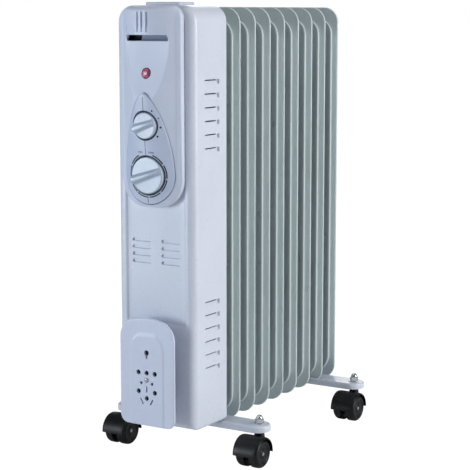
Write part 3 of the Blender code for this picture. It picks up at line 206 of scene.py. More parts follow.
# Studio
FLOOR_REACH = 60.0
FLOOR_GLOW = 0.93
CAMERA_LENS = 115.1
CAMERA_PLACE = (1.1345, FRONT - 1.6314, 0.6143)
CAMERA_DOWN = 8.434
CAMERA_TURN = 31.753


# ---------------------------------------------------------------- finishes

def linear(red, green, blue):
    """A colour given on the usual 0 to 255 scale, as the shader wants it."""
    share = np.array([red, green, blue]) / 255
    made = np.where(share <= 0.04045, share / 12.92, ((share + 0.055) / 1.055) ** 2.4)
    return (*[float(v) for v in made], 1.0)


def finish(name, colour, roughness, metallic=0.0, mottle=0.04, mottle_scale=7.0, grain_scale=1400.0,
           grain=0.03, rough_swing=0.08, coat=0.0, streak=None, specular=0.5, scuff=0.0):
    """Base colour, roughness and bump from noise in object coordinates: a slow drift of tone over
    the whole piece, smudges in the gloss, and a fine grain or orange peel in the bump."""
    made = bpy.data.materials.new(name)
    made.use_nodes = True
    tree = made.node_tree
    links = tree.links
    shader = tree.nodes["Principled BSDF"]
    shader.inputs["Metallic"].default_value = metallic
    shader.inputs["Coat Weight"].default_value = coat
    shader.inputs["Coat Roughness"].default_value = 0.12
    shader.inputs["Specular IOR Level"].default_value = specular
    place = tree.nodes.new("ShaderNodeTexCoord")
    spread = tree.nodes.new("ShaderNodeMapping")
    spread.inputs["Scale"].default_value = streak or (1, 1, 1)
    links.new(place.outputs["Object"], spread.inputs["Vector"])

    def noise(scale, detail, through=None):
        made_noise = tree.nodes.new("ShaderNodeTexNoise")
        made_noise.inputs["Scale"].default_value = scale
        made_noise.inputs["Detail"].default_value = detail
        links.new((through or place).outputs[0 if through else "Object"], made_noise.inputs["Vector"])
        return made_noise.outputs["Fac"]

    def ramp(source, low, high, start, end):
        node = tree.nodes.new("ShaderNodeMapRange")
        for socket, value in zip(("From Min", "From Max", "To Min", "To Max"), (low, high, start, end)):
            node.inputs[socket].default_value = value
        links.new(source, node.inputs["Value"])
        return node.outputs["Result"]

    def mix(share, first, second):
        node = tree.nodes.new("ShaderNodeMix")
        node.data_type = "RGBA"
        for socket, value in ((node.inputs[6], first), (node.inputs[7], second)):
            if isinstance(value, tuple):
                socket.default_value = value
            else:
                links.new(value, socket)
        links.new(share, node.inputs[0])
        return node.outputs[2]

    base = linear(*colour)
    dark = tuple(v * (1 - mottle) for v in base[:3]) + (1.0,)
    light = tuple(min(v * (1 + mottle), 1.0) for v in base[:3]) + (1.0,)
    tone = mix(ramp(noise(mottle_scale, 3.0), 0.3, 0.7, 0.0, 1.0), dark, light)
    speck = tuple(v * (1 - 2.2 * mottle) for v in base[:3]) + (1.0,)
    tone = mix(ramp(noise(grain_scale / 4, 2.0, spread), 0.56, 0.75, 0.0, 0.7), tone, speck)
    if scuff:
        worn = tuple(v + (0.35 - v) * 0.5 for v in base[:3]) + (1.0,)
        tone = mix(ramp(noise(140.0, 6.0), 0.60, 0.72, 0.0, scuff), tone, worn)
    links.new(tone, shader.inputs["Base Color"])
    gloss = ramp(noise(28.0, 4.0, spread), 0.3, 0.7, roughness - rough_swing, roughness + rough_swing)
    links.new(gloss, shader.inputs["Roughness"])
    bump = tree.nodes.new("ShaderNodeBump")
    bump.inputs["Strength"].default_value = grain
    bump.inputs["Distance"].default_value = 0.001
    links.new(noise(grain_scale, 2.0, spread), bump.inputs["Height"])
    links.new(bump.outputs["Normal"], shader.inputs["Normal"])
    return made


FIN_ENAMEL = finish("fin_enamel", (208, 219, 221), 0.34, grain_scale=900, grain=0.05, coat=0.15)
CASING_ENAMEL = finish("casing_enamel", (216, 222, 236), 0.36, grain_scale=1000, grain=0.05, coat=0.1)
PANEL_PLASTIC = finish("panel_plastic", (211, 218, 237), 0.40, grain_scale=2200, grain=0.05)
DIAL_PLASTIC = finish("dial_plastic", (196, 206, 228), 0.36, grain_scale=2200, grain=0.04)
# Painted shade: the knobs are the dial's plastic, given a darker colour here to stand in for the shade on
# them.
KNOB_PLASTIC_SHADED = finish("knob_plastic", (184, 196, 214), 0.30, grain_scale=1800, grain=0.03, coat=0.2)
LENS_RED = finish("lens_red", (178, 52, 104), 0.16, mottle=0.10, grain_scale=600, grain=0.02, coat=0.6)
# The casters' own black, also used as painted shadow in the grip's left end and behind the plug holder's
# holes.
CASTER_BLACK_AND_SHADOW = finish("caster_black", (7, 8, 12), 0.40, mottle=0.12, grain_scale=1500, grain=0.10,
                      scuff=0.05, specular=0.32)
CHROME = finish("chrome", (214, 215, 218), 0.14, metallic=1.0, mottle=0.03, grain_scale=700,
                grain=0.02, rough_swing=0.05)
ZINC = finish("zinc_steel", (176, 180, 186), 0.36, metallic=1.0, mottle=0.08, mottle_scale=90,
              grain_scale=900, grain=0.10, streak=(1, 1, 0.2))
BAKELITE = finish("bakelite", (38, 36, 36), 0.5, mottle=0.15, grain_scale=700, grain=0.08)
CERAMIC = finish("ceramic", (214, 210, 198), 0.6, mottle=0.06, grain_scale=500, grain=0.12)
INK = finish("black_print", (22, 24, 34), 0.55, mottle=0.12, grain_scale=1500, grain=0.06)
# Painted shade: the grey of the grip pocket's inside, darker than the panel plastic where shade falls.
GRIP_SHADE_GREY = finish("grip_shade_grey", (150, 164, 184), 0.5, grain_scale=1500, grain=0.06)
# Grey print, also used as painted shade along the bottoms of the bar's grooves.
GREY_INK_AND_SHADE = finish("grey_print_and_shade", (74, 82, 104), 0.55, mottle=0.10, grain_scale=1500, grain=0.06)


# ---------------------------------------------------------------- skins

def faces_of(rows, columns, wrap, start=0):
    """Quads that join each point of a grid to its neighbours along its row and in the next row."""
    index = np.arange(rows * columns).reshape(rows, columns) + start
    here = index if wrap else index[:, :-1]
    there = np.roll(index, -1, 1) if wrap else index[:, 1:]
    return np.stack([here[:-1], there[:-1], there[1:], here[1:]], -1).reshape(-1, 4)


def tube(grid, caps=True):
    """A closed skin of rings: each row of the grid is one ring. The end rings are closed by a fan
    that meets in their middle point."""
    rows, columns = grid.shape[:2]
    faces = faces_of(rows, columns, True).tolist()
    points = grid.reshape(-1, 3)
    if caps:
        ends = np.stack([grid[0].mean(0), grid[-1].mean(0)])
        points = np.vstack([points, ends])
        ring = np.arange(columns)
        after = np.roll(ring, -1)
        first = rows * columns
        last = (rows - 1) * columns
        faces += np.stack([after, ring, np.full(columns, first)], 1).tolist()
        faces += np.stack([last + ring, last + after, np.full(columns, first + 1)], 1).tolist()
    return points, faces


def sheet(x, y, z):
    """A grid of points from its x, y and z, each of which may be a row, a column or the grid."""
    return np.stack(np.broadcast_arrays(x, y, z), -1)


def border_of(grid):
    """What lies around the edge of a grid, in order, each once."""
    return np.concatenate([grid[0, :-1], grid[:-1, -1], grid[-1, :0:-1], grid[:0:-1, 0]])


def slab(front, back):
    """A closed skin between two grids of equal size, joined around their borders."""
    rows, columns = front.shape[:2]
    count = rows * columns
    faces = faces_of(rows, columns, False).tolist()
    faces += faces_of(rows, columns, False, count)[:, ::-1].tolist()
    border = border_of(np.arange(count).reshape(rows, columns))
    after = np.roll(border, -1)
    faces += np.stack([border, border + count, after + count, after], 1).tolist()
    return np.vstack([front.reshape(-1, 3), back.reshape(-1, 3)]), faces


def gather(shapes):
    """Several skins as one list of points and faces."""
    points, faces, start = [], [], 0
    for shape_points, shape_faces in shapes:
        points.append(shape_points)
        faces += [[start + i for i in face] for face in shape_faces]
        start += len(shape_points)
    return np.vstack(points), faces


def make(name, shapes, material, turn_out=True):
    """A mesh object from closed skins, with doubles merged and faces turned outwards."""
    points, faces = gather(shapes)
    mesh = bpy.data.meshes.new(name)
    mesh.from_pydata(points.tolist(), [], faces)
    shape = bmesh.new()
    shape.from_mesh(mesh)
    bmesh.ops.remove_doubles(shape, verts=shape.verts, dist=0.000002)
    if turn_out:
        bmesh.ops.recalc_face_normals(shape, faces=shape.faces)
    shape.to_mesh(mesh)
    shape.free()
    mesh.materials.append(material)
    made = bpy.data.objects.new(name, mesh)
    bpy.context.scene.collection.objects.link(made)
    return made


def soften(made, angle=35):
    made.data.shade_smooth()
    made.data.set_sharp_from_angle(angle=math.radians(angle))


def settle(made):
    """Keeps the shape that the piece's modifiers give it as its mesh."""
    bpy.context.view_layer.update()
    done = bpy.data.meshes.new_from_object(made.evaluated_get(bpy.context.evaluated_depsgraph_get()))
    made.modifiers.clear()
    done.name = made.name
    made.data = done


def carve(made, shapes):
    """Cuts closed skins out of a piece."""
    tool = make("cutter", shapes, INK)
    step = made.modifiers.new("cut", "BOOLEAN")
    step.operation = "DIFFERENCE"
    step.solver = "EXACT"
    step.object = tool
    settle(made)
    bpy.data.objects.remove(tool)


def fit(made, body, nodes=()):
    """Smooths a finished piece, sets it on its body, and hides the CAD nodes that it stands for."""
    soften(made)
    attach(made, body)
    for node in nodes:
        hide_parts(node)
    return made


def smooth(value):
    """Rises from 0 to 1 as the value goes from 0 to 1, level at both ends."""
    share = np.clip(value, 0, 1)
    return share * share * (3 - 2 * share)


def rounded(half, low, high, corner, steps=10):
    """Upright rounded rectangles as (x, z): four quarter circles of the corner's radius, set in
    from the sides and ends. Each size may be an array, which gives one ring for each value."""
    half, low, high, corner = (np.atleast_1d(np.asarray(v, float))[:, None]
                               for v in (half, low, high, corner))
    quarter = np.linspace(0, PI / 2, steps + 1)
    angle = np.concatenate([quarter - PI / 2, quarter, quarter + PI / 2, quarter + PI])[None]
    side = np.repeat([1, 1, -1, -1], steps + 1)[None]
    upper = np.repeat([0, 1, 1, 0], steps + 1)[None]
    x = side * (half - corner) + corner * np.cos(angle)
    z = np.where(upper, high - corner, low + corner) + corner * np.sin(angle)
    return x, z


def revolve(profile, centre, axis, sides=48, start=0.0):
    """Rings of (radius, way along the axis) turned around an axis through the centre."""
    profile = np.asarray(profile, float)
    angle = np.linspace(0, 2 * PI, sides, endpoint=False) + start
    radius = profile[:, :1]
    along = np.repeat(profile[:, 1:], sides, 1)
    a, b = radius * np.cos(angle), radius * np.sin(angle)
    order = {"x": (along, a, b), "-y": (a, -along, b), "y": (a, along, -b), "z": (a, b, along)}[axis]
    return np.stack(order, -1) + np.asarray(centre, float)


def prism(outline, near, far):
    """A straight block between two depths along Y, from its outline as rows of (x, z)."""
    return tube(sheet(outline[:, 0], np.array([[near], [far]]), outline[:, 1]))


def turned(outline, degrees):
    """An outline's rows of (x, z) turned about the origin."""
    way = math.radians(degrees)
    return outline @ np.array([[math.cos(way), math.sin(way)], [-math.sin(way), math.cos(way)]])


def bend(points, steps):
    """A polyline of (radius, way) points with each corner rounded: Chaikin's corner cutting, where
    every inner corner gives way to points at one and three quarters of its two edges."""
    line = np.asarray(points, float)
    for _ in range(steps):
        near = 0.75 * line[:-1] + 0.25 * line[1:]
        far = 0.25 * line[:-1] + 0.75 * line[1:]
        line = np.vstack([line[:1], np.stack([near, far], 1).reshape(-1, line.shape[1]), line[-1:]])
    return line


def swept(path, radius, sides=16):
    """A round bar along a path that stays in one upright plane across the fins."""
    path = np.asarray(path, float)
    along = np.gradient(path, axis=0)
    along /= np.linalg.norm(along, axis=1, keepdims=True)
    level = np.array([0.0, 1.0, 0.0])
    beside = np.cross(along, level)
    angle = np.linspace(0, 2 * PI, sides, endpoint=False)
    return path[:, None] + radius * (np.cos(angle)[None, :, None] * level
                                     + np.sin(angle)[None, :, None] * beside[:, None])


# ---------------------------------------------------------------- oil elements

def element_grid():
    """Rings from the middle of the front face out to the front sheet's rolled rim, in to the line
    where the sheets part, out around the rear sheet's rim and back to the middle of the rear face.
    A sheet leaves the root along a smooth S, and its rim is a bead of circular section."""
    low, high = FIN_LOW, FIN_HIGH
    channel = (FIN_HALF - 0.0225, low + 0.042, high - 0.042, 0.010)
    root = (FIN_HALF - 0.0165, low + 0.036, high - 0.036, 0.016)
    knee = (FIN_HALF - 0.006, low + 0.018, high - 0.018, FIN_CORNER - 0.006)

    def inner(sizes, inward):
        half, bottom, top, corner = sizes
        return (half - inward, bottom + inward, top - inward, max(corner - inward, 0.002))

    def between(first, second, start, end, steps, skip=True):
        share = np.linspace(0, 1, steps + 1)[1 if skip else 0:]
        depth = start + (end - start) * smooth(share)
        sizes = np.array(first) * (1 - share[:, None]) + np.array(second) * share[:, None]
        return np.hstack([sizes, depth[:, None]])

    def bead(sizes, depth):
        angle = np.radians(np.linspace(-140, 140, 11))
        inward = FIN_BEAD * (1 - np.cos(angle))
        rows = np.repeat(np.array([sizes]), len(angle), 0)
        rows += np.stack([-inward, inward, -inward, -inward], 1)
        return np.hstack([rows, (depth + FIN_BEAD * np.sin(angle))[:, None]])

    front_rim = (FIN_HALF, low + FRONT_SHEET_INSET, high - FRONT_SHEET_INSET, FIN_CORNER)
    rear_rim = (FIN_HALF, low, high, FIN_CORNER)
    flat = 0.0026
    rows = np.vstack([
        between(inner(channel, 0.003), channel, -CHANNEL_FACE, -0.003, 4, False),
        between(channel, root, -0.003, -0.0012, 2),
        between(root, inner(front_rim, flat), -0.0012, -FIN_SPREAD - SHEET, 7),
        bead(front_rim, -FIN_SPREAD),
        between(inner(front_rim, flat), inner(root, -0.0012), -FIN_SPREAD + SHEET, 0, 7, False),
        between(inner(root, -0.0012), knee, 0, FIN_SPREAD - SHEET, 6),
        between(knee, inner(rear_rim, flat), FIN_SPREAD - SHEET, FIN_SPREAD - SHEET, 1),
        bead(rear_rim, FIN_SPREAD),
        between(inner(rear_rim, flat), knee, FIN_SPREAD + SHEET, FIN_SPREAD + SHEET, 1, False),
        between(knee, root, FIN_SPREAD + SHEET, 0.0012, 6),
        between(root, channel, 0.0012, 0.003, 2),
        between(channel, inner(channel, 0.003), 0.003, CHANNEL_FACE, 4)])
    x, z = rounded(*rows[:, :4].T, steps=12)
    return sheet(x, rows[:, 4:], z)


def channel_rib(x, side):
    """A pressed oil way: a long low dome, half an ellipse across, that fades at both ends."""
    height = np.concatenate([np.linspace(0, 0.02, 9), np.linspace(0.03, 0.97, 12),
                             np.linspace(0.98, 1, 9)])
    low, high = COLLAR_HEIGHTS[0] + 0.030, COLLAR_HEIGHTS[1] - 0.030
    fade = np.sqrt(np.clip(1 - (1 - np.minimum(height, 1 - height) / 0.02).clip(0) ** 2, 0.0004, 1))
    angle = np.linspace(0, 2 * PI, 24, endpoint=False)
    across = x + 0.0085 * fade[:, None] * np.cos(angle)
    out = side * (CHANNEL_FACE + 0.0028 * fade[:, None] * np.sin(angle))
    return tube(sheet(across, out, (low + (high - low) * height)[:, None]))


def collar(height, start, end):
    """A pressed neck between two elements: it flares into each face and has a welded seam."""
    way = np.linspace(0, 1, 25)
    flare = 0.0075 * (np.exp(-way * 14) + np.exp(-(1 - way) * 14))
    seam = 0.0014 * np.exp(-((way - 0.5) * 26) ** 2)
    profile = np.stack([COLLAR_RADIUS + flare + seam, start + (end - start) * way], 1)
    return tube(revolve(profile, (0, 0, height), "y", 40))


def build_elements():
    skin = element_grid()
    half = ELEMENT_PITCH / 2
    for number in range(ELEMENT_COUNT):
        shapes = [tube(skin)]
        for side in (-1, 1):
            shapes += [channel_rib(x, side) for x in (-0.0225, 0.0, 0.0225)]
        if number < ELEMENT_COUNT - 1:
            for height in COLLAR_HEIGHTS:
                shapes.append(collar(height, CHANNEL_FACE - 0.0004, 2 * half - CHANNEL_FACE - GAP))
        shift = np.array([0, FRONT + ELEMENT_FIRST + number * ELEMENT_PITCH, 0])
        name = f"oil_element_{number + 1}"
        made = make(f"{name}_fine", [(points + shift, faces) for points, faces in shapes], FIN_ENAMEL)
        fit(made, "radiator", [name])


# ---------------------------------------------------------------- casing

def edge_distance(x, z, half, low, high, corner):
    """How far a point lies inside an upright rounded rectangle."""
    across = np.abs(x) - (half - corner)
    along = np.abs(z - (low + high) / 2) - ((high - low) / 2 - corner)
    outside = np.hypot(np.maximum(across, 0), np.maximum(along, 0))
    return corner - outside - np.minimum(np.maximum(across, along), 0)


def casing_depth(x, z):
    """Depth of the casing's front behind its foremost plane: a quarter round along the edges, a
    shallow recess with sloping walls, and the pressed vents."""
    corner = np.where(z > (CASING_LOW + CASING_HIGH) / 2, CASING_TOP_CORNER, CASING_LOW_CORNER)
    inside = np.clip(edge_distance(x, z, CASING_HALF, CASING_LOW, CASING_HIGH, corner), 0, CASING_EDGE)
    depth = CASING_EDGE - np.sqrt(np.maximum(CASING_EDGE ** 2 - (CASING_EDGE - inside) ** 2, 0))
    wall = edge_distance(x, z, RECESS_HALF + 0.001, RECESS_LOW, RECESS_HIGH, 0.006)
    depth = depth + RECESS_DEPTH * smooth(wall / RECESS_SLOPE)
    for row in range(VENT_ROWS):
        for side in (-1, 1):
            middle = VENT_LOW + row * VENT_PITCH + VENT_HEIGHT / 2
            across = np.maximum(np.abs(x - side * VENT_X) - (VENT_HALF_LENGTH - VENT_HEIGHT / 2), 0)
            far = np.hypot(across, z - middle)
            depth = depth + VENT_DEPTH * smooth((VENT_HEIGHT / 2 + 0.0002 - far) / 0.0005)
    return depth


def louvre(depth, z):
    """A louvre in the casing's side sinks from its lower edge to its upper one and fades at its
    ends; a small mouth opens at its rear end."""
    sunk = np.zeros(np.broadcast(depth, z).shape)
    for low in LOUVRE_LOWS:
        for row in range(LOUVRE_ROWS):
            share = (z - low - row * LOUVRE_PITCH) / LOUVRE_HEIGHT
            rise = np.where((share > 0) & (share < 1), np.clip(share, 0, 1) ** 1.5, 0)
            ends = smooth((depth - LOUVRE_START) / 0.002) * smooth((LOUVRE_END - depth) / 0.002)
            sunk = sunk + LOUVRE_DEPTH * rise * ends
            mouth = smooth((share - 0.25) / 0.2) * smooth((1 - share) / 0.1)
            back = smooth((depth - LOUVRE_END + 0.0048) / 0.001) * smooth((LOUVRE_END - depth) / 0.001)
            sunk = sunk + 0.0028 * mouth * back
    return sunk


def louvre_slits():
    """The open slit under the upper edge of each louvre, as blocks that go through the wall."""
    blocks = []
    y = FRONT + np.array([[LOUVRE_START + 0.0025, LOUVRE_END - 0.0050]])
    for low in LOUVRE_LOWS:
        for row in range(LOUVRE_ROWS):
            top = low + row * LOUVRE_PITCH + LOUVRE_HEIGHT * 0.96
            z = np.array([[top - SLIT_HEIGHT], [top]])
            for side in (-1, 1):
                block = [sheet(side * (CASING_HALF + reach), y, z) for reach in (-0.008, 0.001)]
                blocks.append(slab(*block[::-side]))
    return blocks


def half_width(z, half, low, high, low_corner, high_corner):
    """Half width of a rounded rectangle at a height: full between the corners, and the corner's
    circle past them."""
    rise = np.maximum(z - (high - high_corner), 0)
    drop = np.maximum(low + low_corner - z, 0)
    top = half - high_corner + np.sqrt(np.maximum(high_corner ** 2 - rise ** 2, 0))
    bottom = half - low_corner + np.sqrt(np.maximum(low_corner ** 2 - drop ** 2, 0))
    return np.where(rise > 0, top, np.where(drop > 0, bottom, half))


def casing_lines():
    """Row heights and column places of the casing's front, close together where it bends."""
    quarter = np.linspace(0, PI / 2, 11)
    rows = [CASING_LOW + CASING_EDGE * (1 - np.cos(quarter)),
            CASING_HIGH - CASING_TOP_CORNER + CASING_TOP_CORNER * np.sin(np.linspace(0, PI / 2, 13)),
            RECESS_LOW + np.linspace(0, RECESS_SLOPE, 7), RECESS_HIGH - np.linspace(0, RECESS_SLOPE, 7),
            np.linspace(CASING_LOW + 0.02, CASING_HIGH - 0.03, 36)]
    for row in range(VENT_ROWS):
        rows.append(VENT_LOW + row * VENT_PITCH + VENT_HEIGHT * np.array(
            [-0.06, 0.03, 0.08, 0.16, 0.3, 0.5, 0.7, 0.84, 0.92, 0.97, 1.06]))
    for low in LOUVRE_LOWS:
        for row in range(LOUVRE_ROWS):
            rows.append(low + row * LOUVRE_PITCH + LOUVRE_HEIGHT * np.array(
                [-0.02, 0.02, 0.25, 0.4, 0.55, 0.75, 0.9, 0.97, 1.01]))
    edges = [CASING_HALF - CASING_EDGE * (1 - np.cos(quarter)),
             RECESS_HALF + 0.001 - np.linspace(0, RECESS_SLOPE, 7)]
    for way in (-1, 1):
        edges.append(VENT_X + way * (VENT_HALF_LENGTH + np.array(
            [0.0004, 0.0, -0.0003, -0.0007, -0.0012, -0.0018, -0.003])))
    edges += [np.linspace(VENT_X - 0.010, VENT_X + 0.010, 5), np.array([0.0, 0.004])]
    columns = np.concatenate(edges)
    columns = np.concatenate([-columns, columns])

    def sifted(values, least):
        values = np.sort(np.concatenate(values) if isinstance(values, list) else values)
        keep = np.concatenate([[True], np.diff(values) > least])
        return values[keep]

    return sifted(rows, 0.00005), sifted(columns, 0.00005)


def build_casing():
    rows, columns = casing_lines()
    rows[0], rows[-1] = CASING_LOW, CASING_HIGH
    z = np.repeat(rows[:, None], len(columns), 1)
    reach = half_width(z, CASING_HALF, CASING_LOW, CASING_HIGH, CASING_LOW_CORNER, CASING_TOP_CORNER)
    x = reach * columns[None] / columns[-1]
    front = np.stack([x, FRONT + casing_depth(x, z), z], -1)
    count = front.shape[0] * front.shape[1]
    faces = faces_of(*front.shape[:2], False)
    border = border_of(np.arange(count).reshape(front.shape[:2]))
    edge = front.reshape(-1, 3)[border]
    depths = np.concatenate([[CASING_EDGE, 0.018, 0.0255], np.linspace(LOUVRE_START, 0.029, 4),
                             np.linspace(0.034, 0.056, 5), np.linspace(0.0572, 0.0624, 12),
                             [0.070, 0.0765, CASING_DEPTH]])
    sides = np.repeat(edge[None], len(depths), 0)
    sides[:, :, 1] = FRONT + depths[:, None]
    on_side = np.abs(np.abs(sides[:, :, 0]) - CASING_HALF) < 0.0002
    sunk = louvre(depths[:, None], sides[:, :, 2]) * on_side
    sides[:, :, 0] -= np.sign(sides[:, :, 0]) * sunk
    side_faces = faces_of(len(depths), len(border), True, count)
    middle = sides.reshape(-1, 3)[side_faces - count].mean(1)
    open_floor = ((middle[:, 2] < CASING_LOW + 0.003) & (middle[:, 1] > FRONT + FLOOR_OPENING)
                  & (np.abs(middle[:, 0]) < CASING_HALF - 0.004))
    side_faces = side_faces[~open_floor]
    points = np.vstack([front.reshape(-1, 3), sides.reshape(-1, 3)])
    made = make("control_casing_fine", [(points, faces.tolist() + side_faces[:, ::-1].tolist())],
                CASING_ENAMEL, False)
    wall = made.modifiers.new("wall", "SOLIDIFY")
    wall.thickness = CASING_WALL
    wall.offset = -1
    settle(made)
    carve(made, louvre_slits())
    fit(made, "radiator", ["control_casing"])


# ---------------------------------------------------------------- panel

def face_line(z):
    """How far in front of the casing the panel's middle line stands at a height."""
    share = np.clip((z - PANEL_LOW) / (SLOPE_TOP - PANEL_LOW), 0, 1)
    return LOW_DEPTH + (TOP_DEPTH - LOW_DEPTH) * share


def crown_depth(x, z):
    """The crowned face without its funnel: a parabola across, standing on a shoulder."""
    crown = 1 - (np.minimum(np.abs(x), CROWN_SPAN) / CROWN_SPAN) ** 2
    rise = CROWN_SHOULDER + (1 - CROWN_SHOULDER) * crown
    return RIM_DEPTH + (face_line(z) - RIM_DEPTH) * rise


def panel_depth(x, z):
    """The crowned face, sunk by a funnel that deepens up to the grip, and rounded off at its rim."""
    depth = crown_depth(x, z)
    share = np.clip((z - FUNNEL_LOW) / (GRIP_LOW - FUNNEL_LOW), 0, 1)
    wide = FUNNEL_LOW_HALF + (FUNNEL_TOP_HALF - FUNNEL_LOW_HALF) * share
    floor = TOP_DEPTH + (FUNNEL_FLOOR - TOP_DEPTH) * np.sin(PI / 2 * share)
    inside = np.clip((wide + FUNNEL_SLOPE - np.abs(x)) / FUNNEL_SLOPE, 0, 1)
    inside = 0.7 * inside + 0.3 * smooth(inside)
    sunk = np.maximum(depth - floor, 0) * inside
    depth = depth - np.where((z > FUNNEL_LOW) & (z <= GRIP_HIGH + 1e-6), sunk, 0)
    corner = np.where(z > (PANEL_LOW + PANEL_HIGH) / 2, PANEL_TOP_CORNER, PANEL_LOW_CORNER)
    inward = edge_distance(x, z, PANEL_HALF, PANEL_LOW, PANEL_HIGH, corner)
    fall = 1 - np.clip(inward / EDGE_ROUND, 0, 1)
    return depth - (depth - RIM_DEPTH) * (1 - np.sqrt(np.maximum(1 - fall ** 2, 0))) * EDGE_FALL


def bar_grooves(x, z):
    """Three upright grooves pressed into the bar above the grip."""
    sunk = np.zeros(np.broadcast(x, z).shape)
    for middle in BAR_GROOVES:
        ends = smooth((z - GRIP_HIGH - 0.0035) / 0.002) * smooth((PANEL_HIGH - 0.006 - z) / 0.002)
        sunk = sunk + 0.0036 * np.exp(-((x - middle) / 0.0011) ** 6) * ends
    return sunk


def panel_lines():
    """Row heights below and above the grip, and column places, close together where it bends."""
    foot = PANEL_LOW + PANEL_LOW_CORNER
    head = PANEL_HIGH - PANEL_TOP_CORNER
    below = np.concatenate([foot - PANEL_LOW_CORNER * np.cos(np.linspace(0, PI / 2, 17)),
                            np.linspace(foot, FUNNEL_LOW, 24)[1:],
                            np.linspace(FUNNEL_LOW, GRIP_LOW, 60)[1:]])
    above = np.concatenate([np.linspace(GRIP_HIGH + LEDGE, head, 14),
                            head + PANEL_TOP_CORNER * np.sin(np.linspace(0, PI / 2, 13))[1:]])
    edge = 1 - np.cos(np.linspace(0, PI / 2, 9))
    across = np.concatenate([PANEL_HALF - EDGE_ROUND * edge,
                             np.linspace(0, PANEL_HALF - EDGE_ROUND, 60)[:-1]])
    grooves = [middle + np.array([-0.0016, -0.0010, -0.0006, 0, 0.0006, 0.0010, 0.0016])
               for middle in BAR_GROOVES]
    columns = np.concatenate([-across, across, *grooves, GRIP_HALF + np.linspace(-0.001, 0.001, 5),
                              -GRIP_HALF - np.linspace(-0.001, 0.001, 5)])
    return below, above, np.unique(np.round(columns, 6))


def panel_spread(heights, columns):
    """The x and z of the panel's points: each row is as wide as the outline at its height."""
    z = np.repeat(heights[:, None], len(columns), 1)
    share = columns / PANEL_HALF
    return half_width(z, PANEL_HALF, PANEL_LOW, PANEL_HIGH, PANEL_LOW_CORNER, PANEL_TOP_CORNER) * share, z


def grip_rows(columns, lip, bar):
    """The rows from the funnel's lip to the bar's foot: within the grip they go back into its
    pocket, up, and down behind the bar, and beside it they lie on the ledge."""
    pocket = bend([(FUNNEL_FLOOR, GRIP_LOW), (FUNNEL_FLOOR - 0.0008, GRIP_LOW + 0.0002),
                   (0.0050, GRIP_LOW + 0.0002), (0.0046, GRIP_HIGH + 0.013),
                   (BAR_BACK, GRIP_HIGH + 0.013), (0.0222, GRIP_HIGH + 0.001),
                   (0.0250, GRIP_HIGH - 0.0002), (TOP_DEPTH, GRIP_HIGH + LEDGE)], 2)
    way = np.linspace(0, 1, len(pocket))[:, None, None]
    ledge = lip[None] * (1 - way) + bar[None] * way
    crown = TOP_DEPTH - panel_depth(columns, np.full(len(columns), GRIP_HIGH + LEDGE))
    behind_bar = np.clip((pocket[:, :1] - FUNNEL_FLOOR) / (BAR_BACK - FUNNEL_FLOOR), 0, 1)
    tunnel = sheet(columns, -pocket[:, :1] + crown[None] * behind_bar, pocket[:, 1:])
    inside = smooth((GRIP_HALF - np.abs(columns)) / 0.0012 + 0.5)[None, :, None]
    return (tunnel * inside + ledge * (1 - inside))[1:-1]


def panel_skin():
    """The crowned face with its funnel, grip and grooved bar, and the skirt back to the casing."""
    below, above, columns = panel_lines()
    x, z = panel_spread(below, columns)
    lower = sheet(x, -panel_depth(x, z), z)
    x, z = panel_spread(above, columns)
    upper = sheet(x, -panel_depth(x, z) + bar_grooves(x, z), z)
    grid = np.concatenate([lower, grip_rows(columns, lower[-1], upper[0]), upper])
    grid[:, :, 1] += FRONT
    foot_rim = border_of(grid)
    foot_rim[:, 1] = FRONT + casing_depth(foot_rim[:, 0], foot_rim[:, 2]) - GAP
    count = grid.shape[0] * grid.shape[1]
    border = border_of(np.arange(count).reshape(grid.shape[:2]))
    low_ring = np.arange(len(border)) + count
    skirt = np.stack([border, np.roll(border, -1), np.roll(low_ring, -1), low_ring], 1)[:, ::-1]
    faces = faces_of(*grid.shape[:2], False).tolist() + skirt.tolist()
    return np.vstack([grid.reshape(-1, 3), foot_rim]), faces


def build_panel():
    """The skin gets its wall's thickness, and then the openings for the dial plate and the lamp."""
    made = make("control_panel_fine", [panel_skin()], PANEL_PLASTIC, False)
    wall = made.modifiers.new("wall", "SOLIDIFY")
    wall.thickness = PANEL_WALL
    wall.offset = -1
    settle(made)
    dial = prism(np.stack(dial_outline(DIAL_SEAM), 1), FRONT - TOP_DEPTH - 0.01, FRONT + 0.0005)
    lamp = revolve([(LENS_RADIUS + 0.0011, 0), (LENS_RADIUS + 0.0011, 0.05)],
                   (0, FRONT - 0.0005, LAMP_Z), "-y", 40)
    carve(made, [dial, tube(lamp)])
    fit(made, "radiator", ["control_panel"])


def shade_sheet_path(inset):
    """The grip pocket's section as (depth, z), from the lip back, up and forward again."""
    low, high = GRIP_LOW + 0.0005 + inset, GRIP_HIGH + 0.0124 - inset
    return bend([(FUNNEL_FLOOR - 0.0010, low), (0.0054 + inset, low), (0.0050 + inset, high),
                 (0.0112, high)], 2)


def build_grip_painted_shade():
    """A thin sheet of painted shade over the grip's pocket, closed by a cap at each end of the grip, in
    two lengths: a black one for the painted shadow at the left end and a grey one for the painted shade
    over the rest."""
    end = GRIP_HALF - 0.0008
    outer, inner = shade_sheet_path(0), shade_sheet_path(GRIP_SHADE_SHEET)
    for name, start, stop, capped, material in (
            ("grip_painted_shadow_left", -end, GRIP_SHADOW_SPLIT - 0.0002, -end, CASTER_BLACK_AND_SHADOW),
            ("grip_painted_shade", GRIP_SHADOW_SPLIT, end, end, GRIP_SHADE_GREY)):
        columns = np.linspace(start, stop, 12)
        skins = [sheet(columns, FRONT - path[:, :1], path[:, 1:]) for path in (inner, outer)]
        rim = sheet(capped, FRONT - outer[:, 0], outer[:, 1])
        middle = rim.mean(0)
        cap = np.stack([middle + (rim - middle) * share for share in (1.0, 0.5, 0.02)])
        cap_inner = cap - [GRIP_SHADE_SHEET * np.sign(capped), 0, 0]
        fit(make(name, [slab(*skins), slab(cap_inner, cap)], material), "radiator")


# ---------------------------------------------------------------- dials

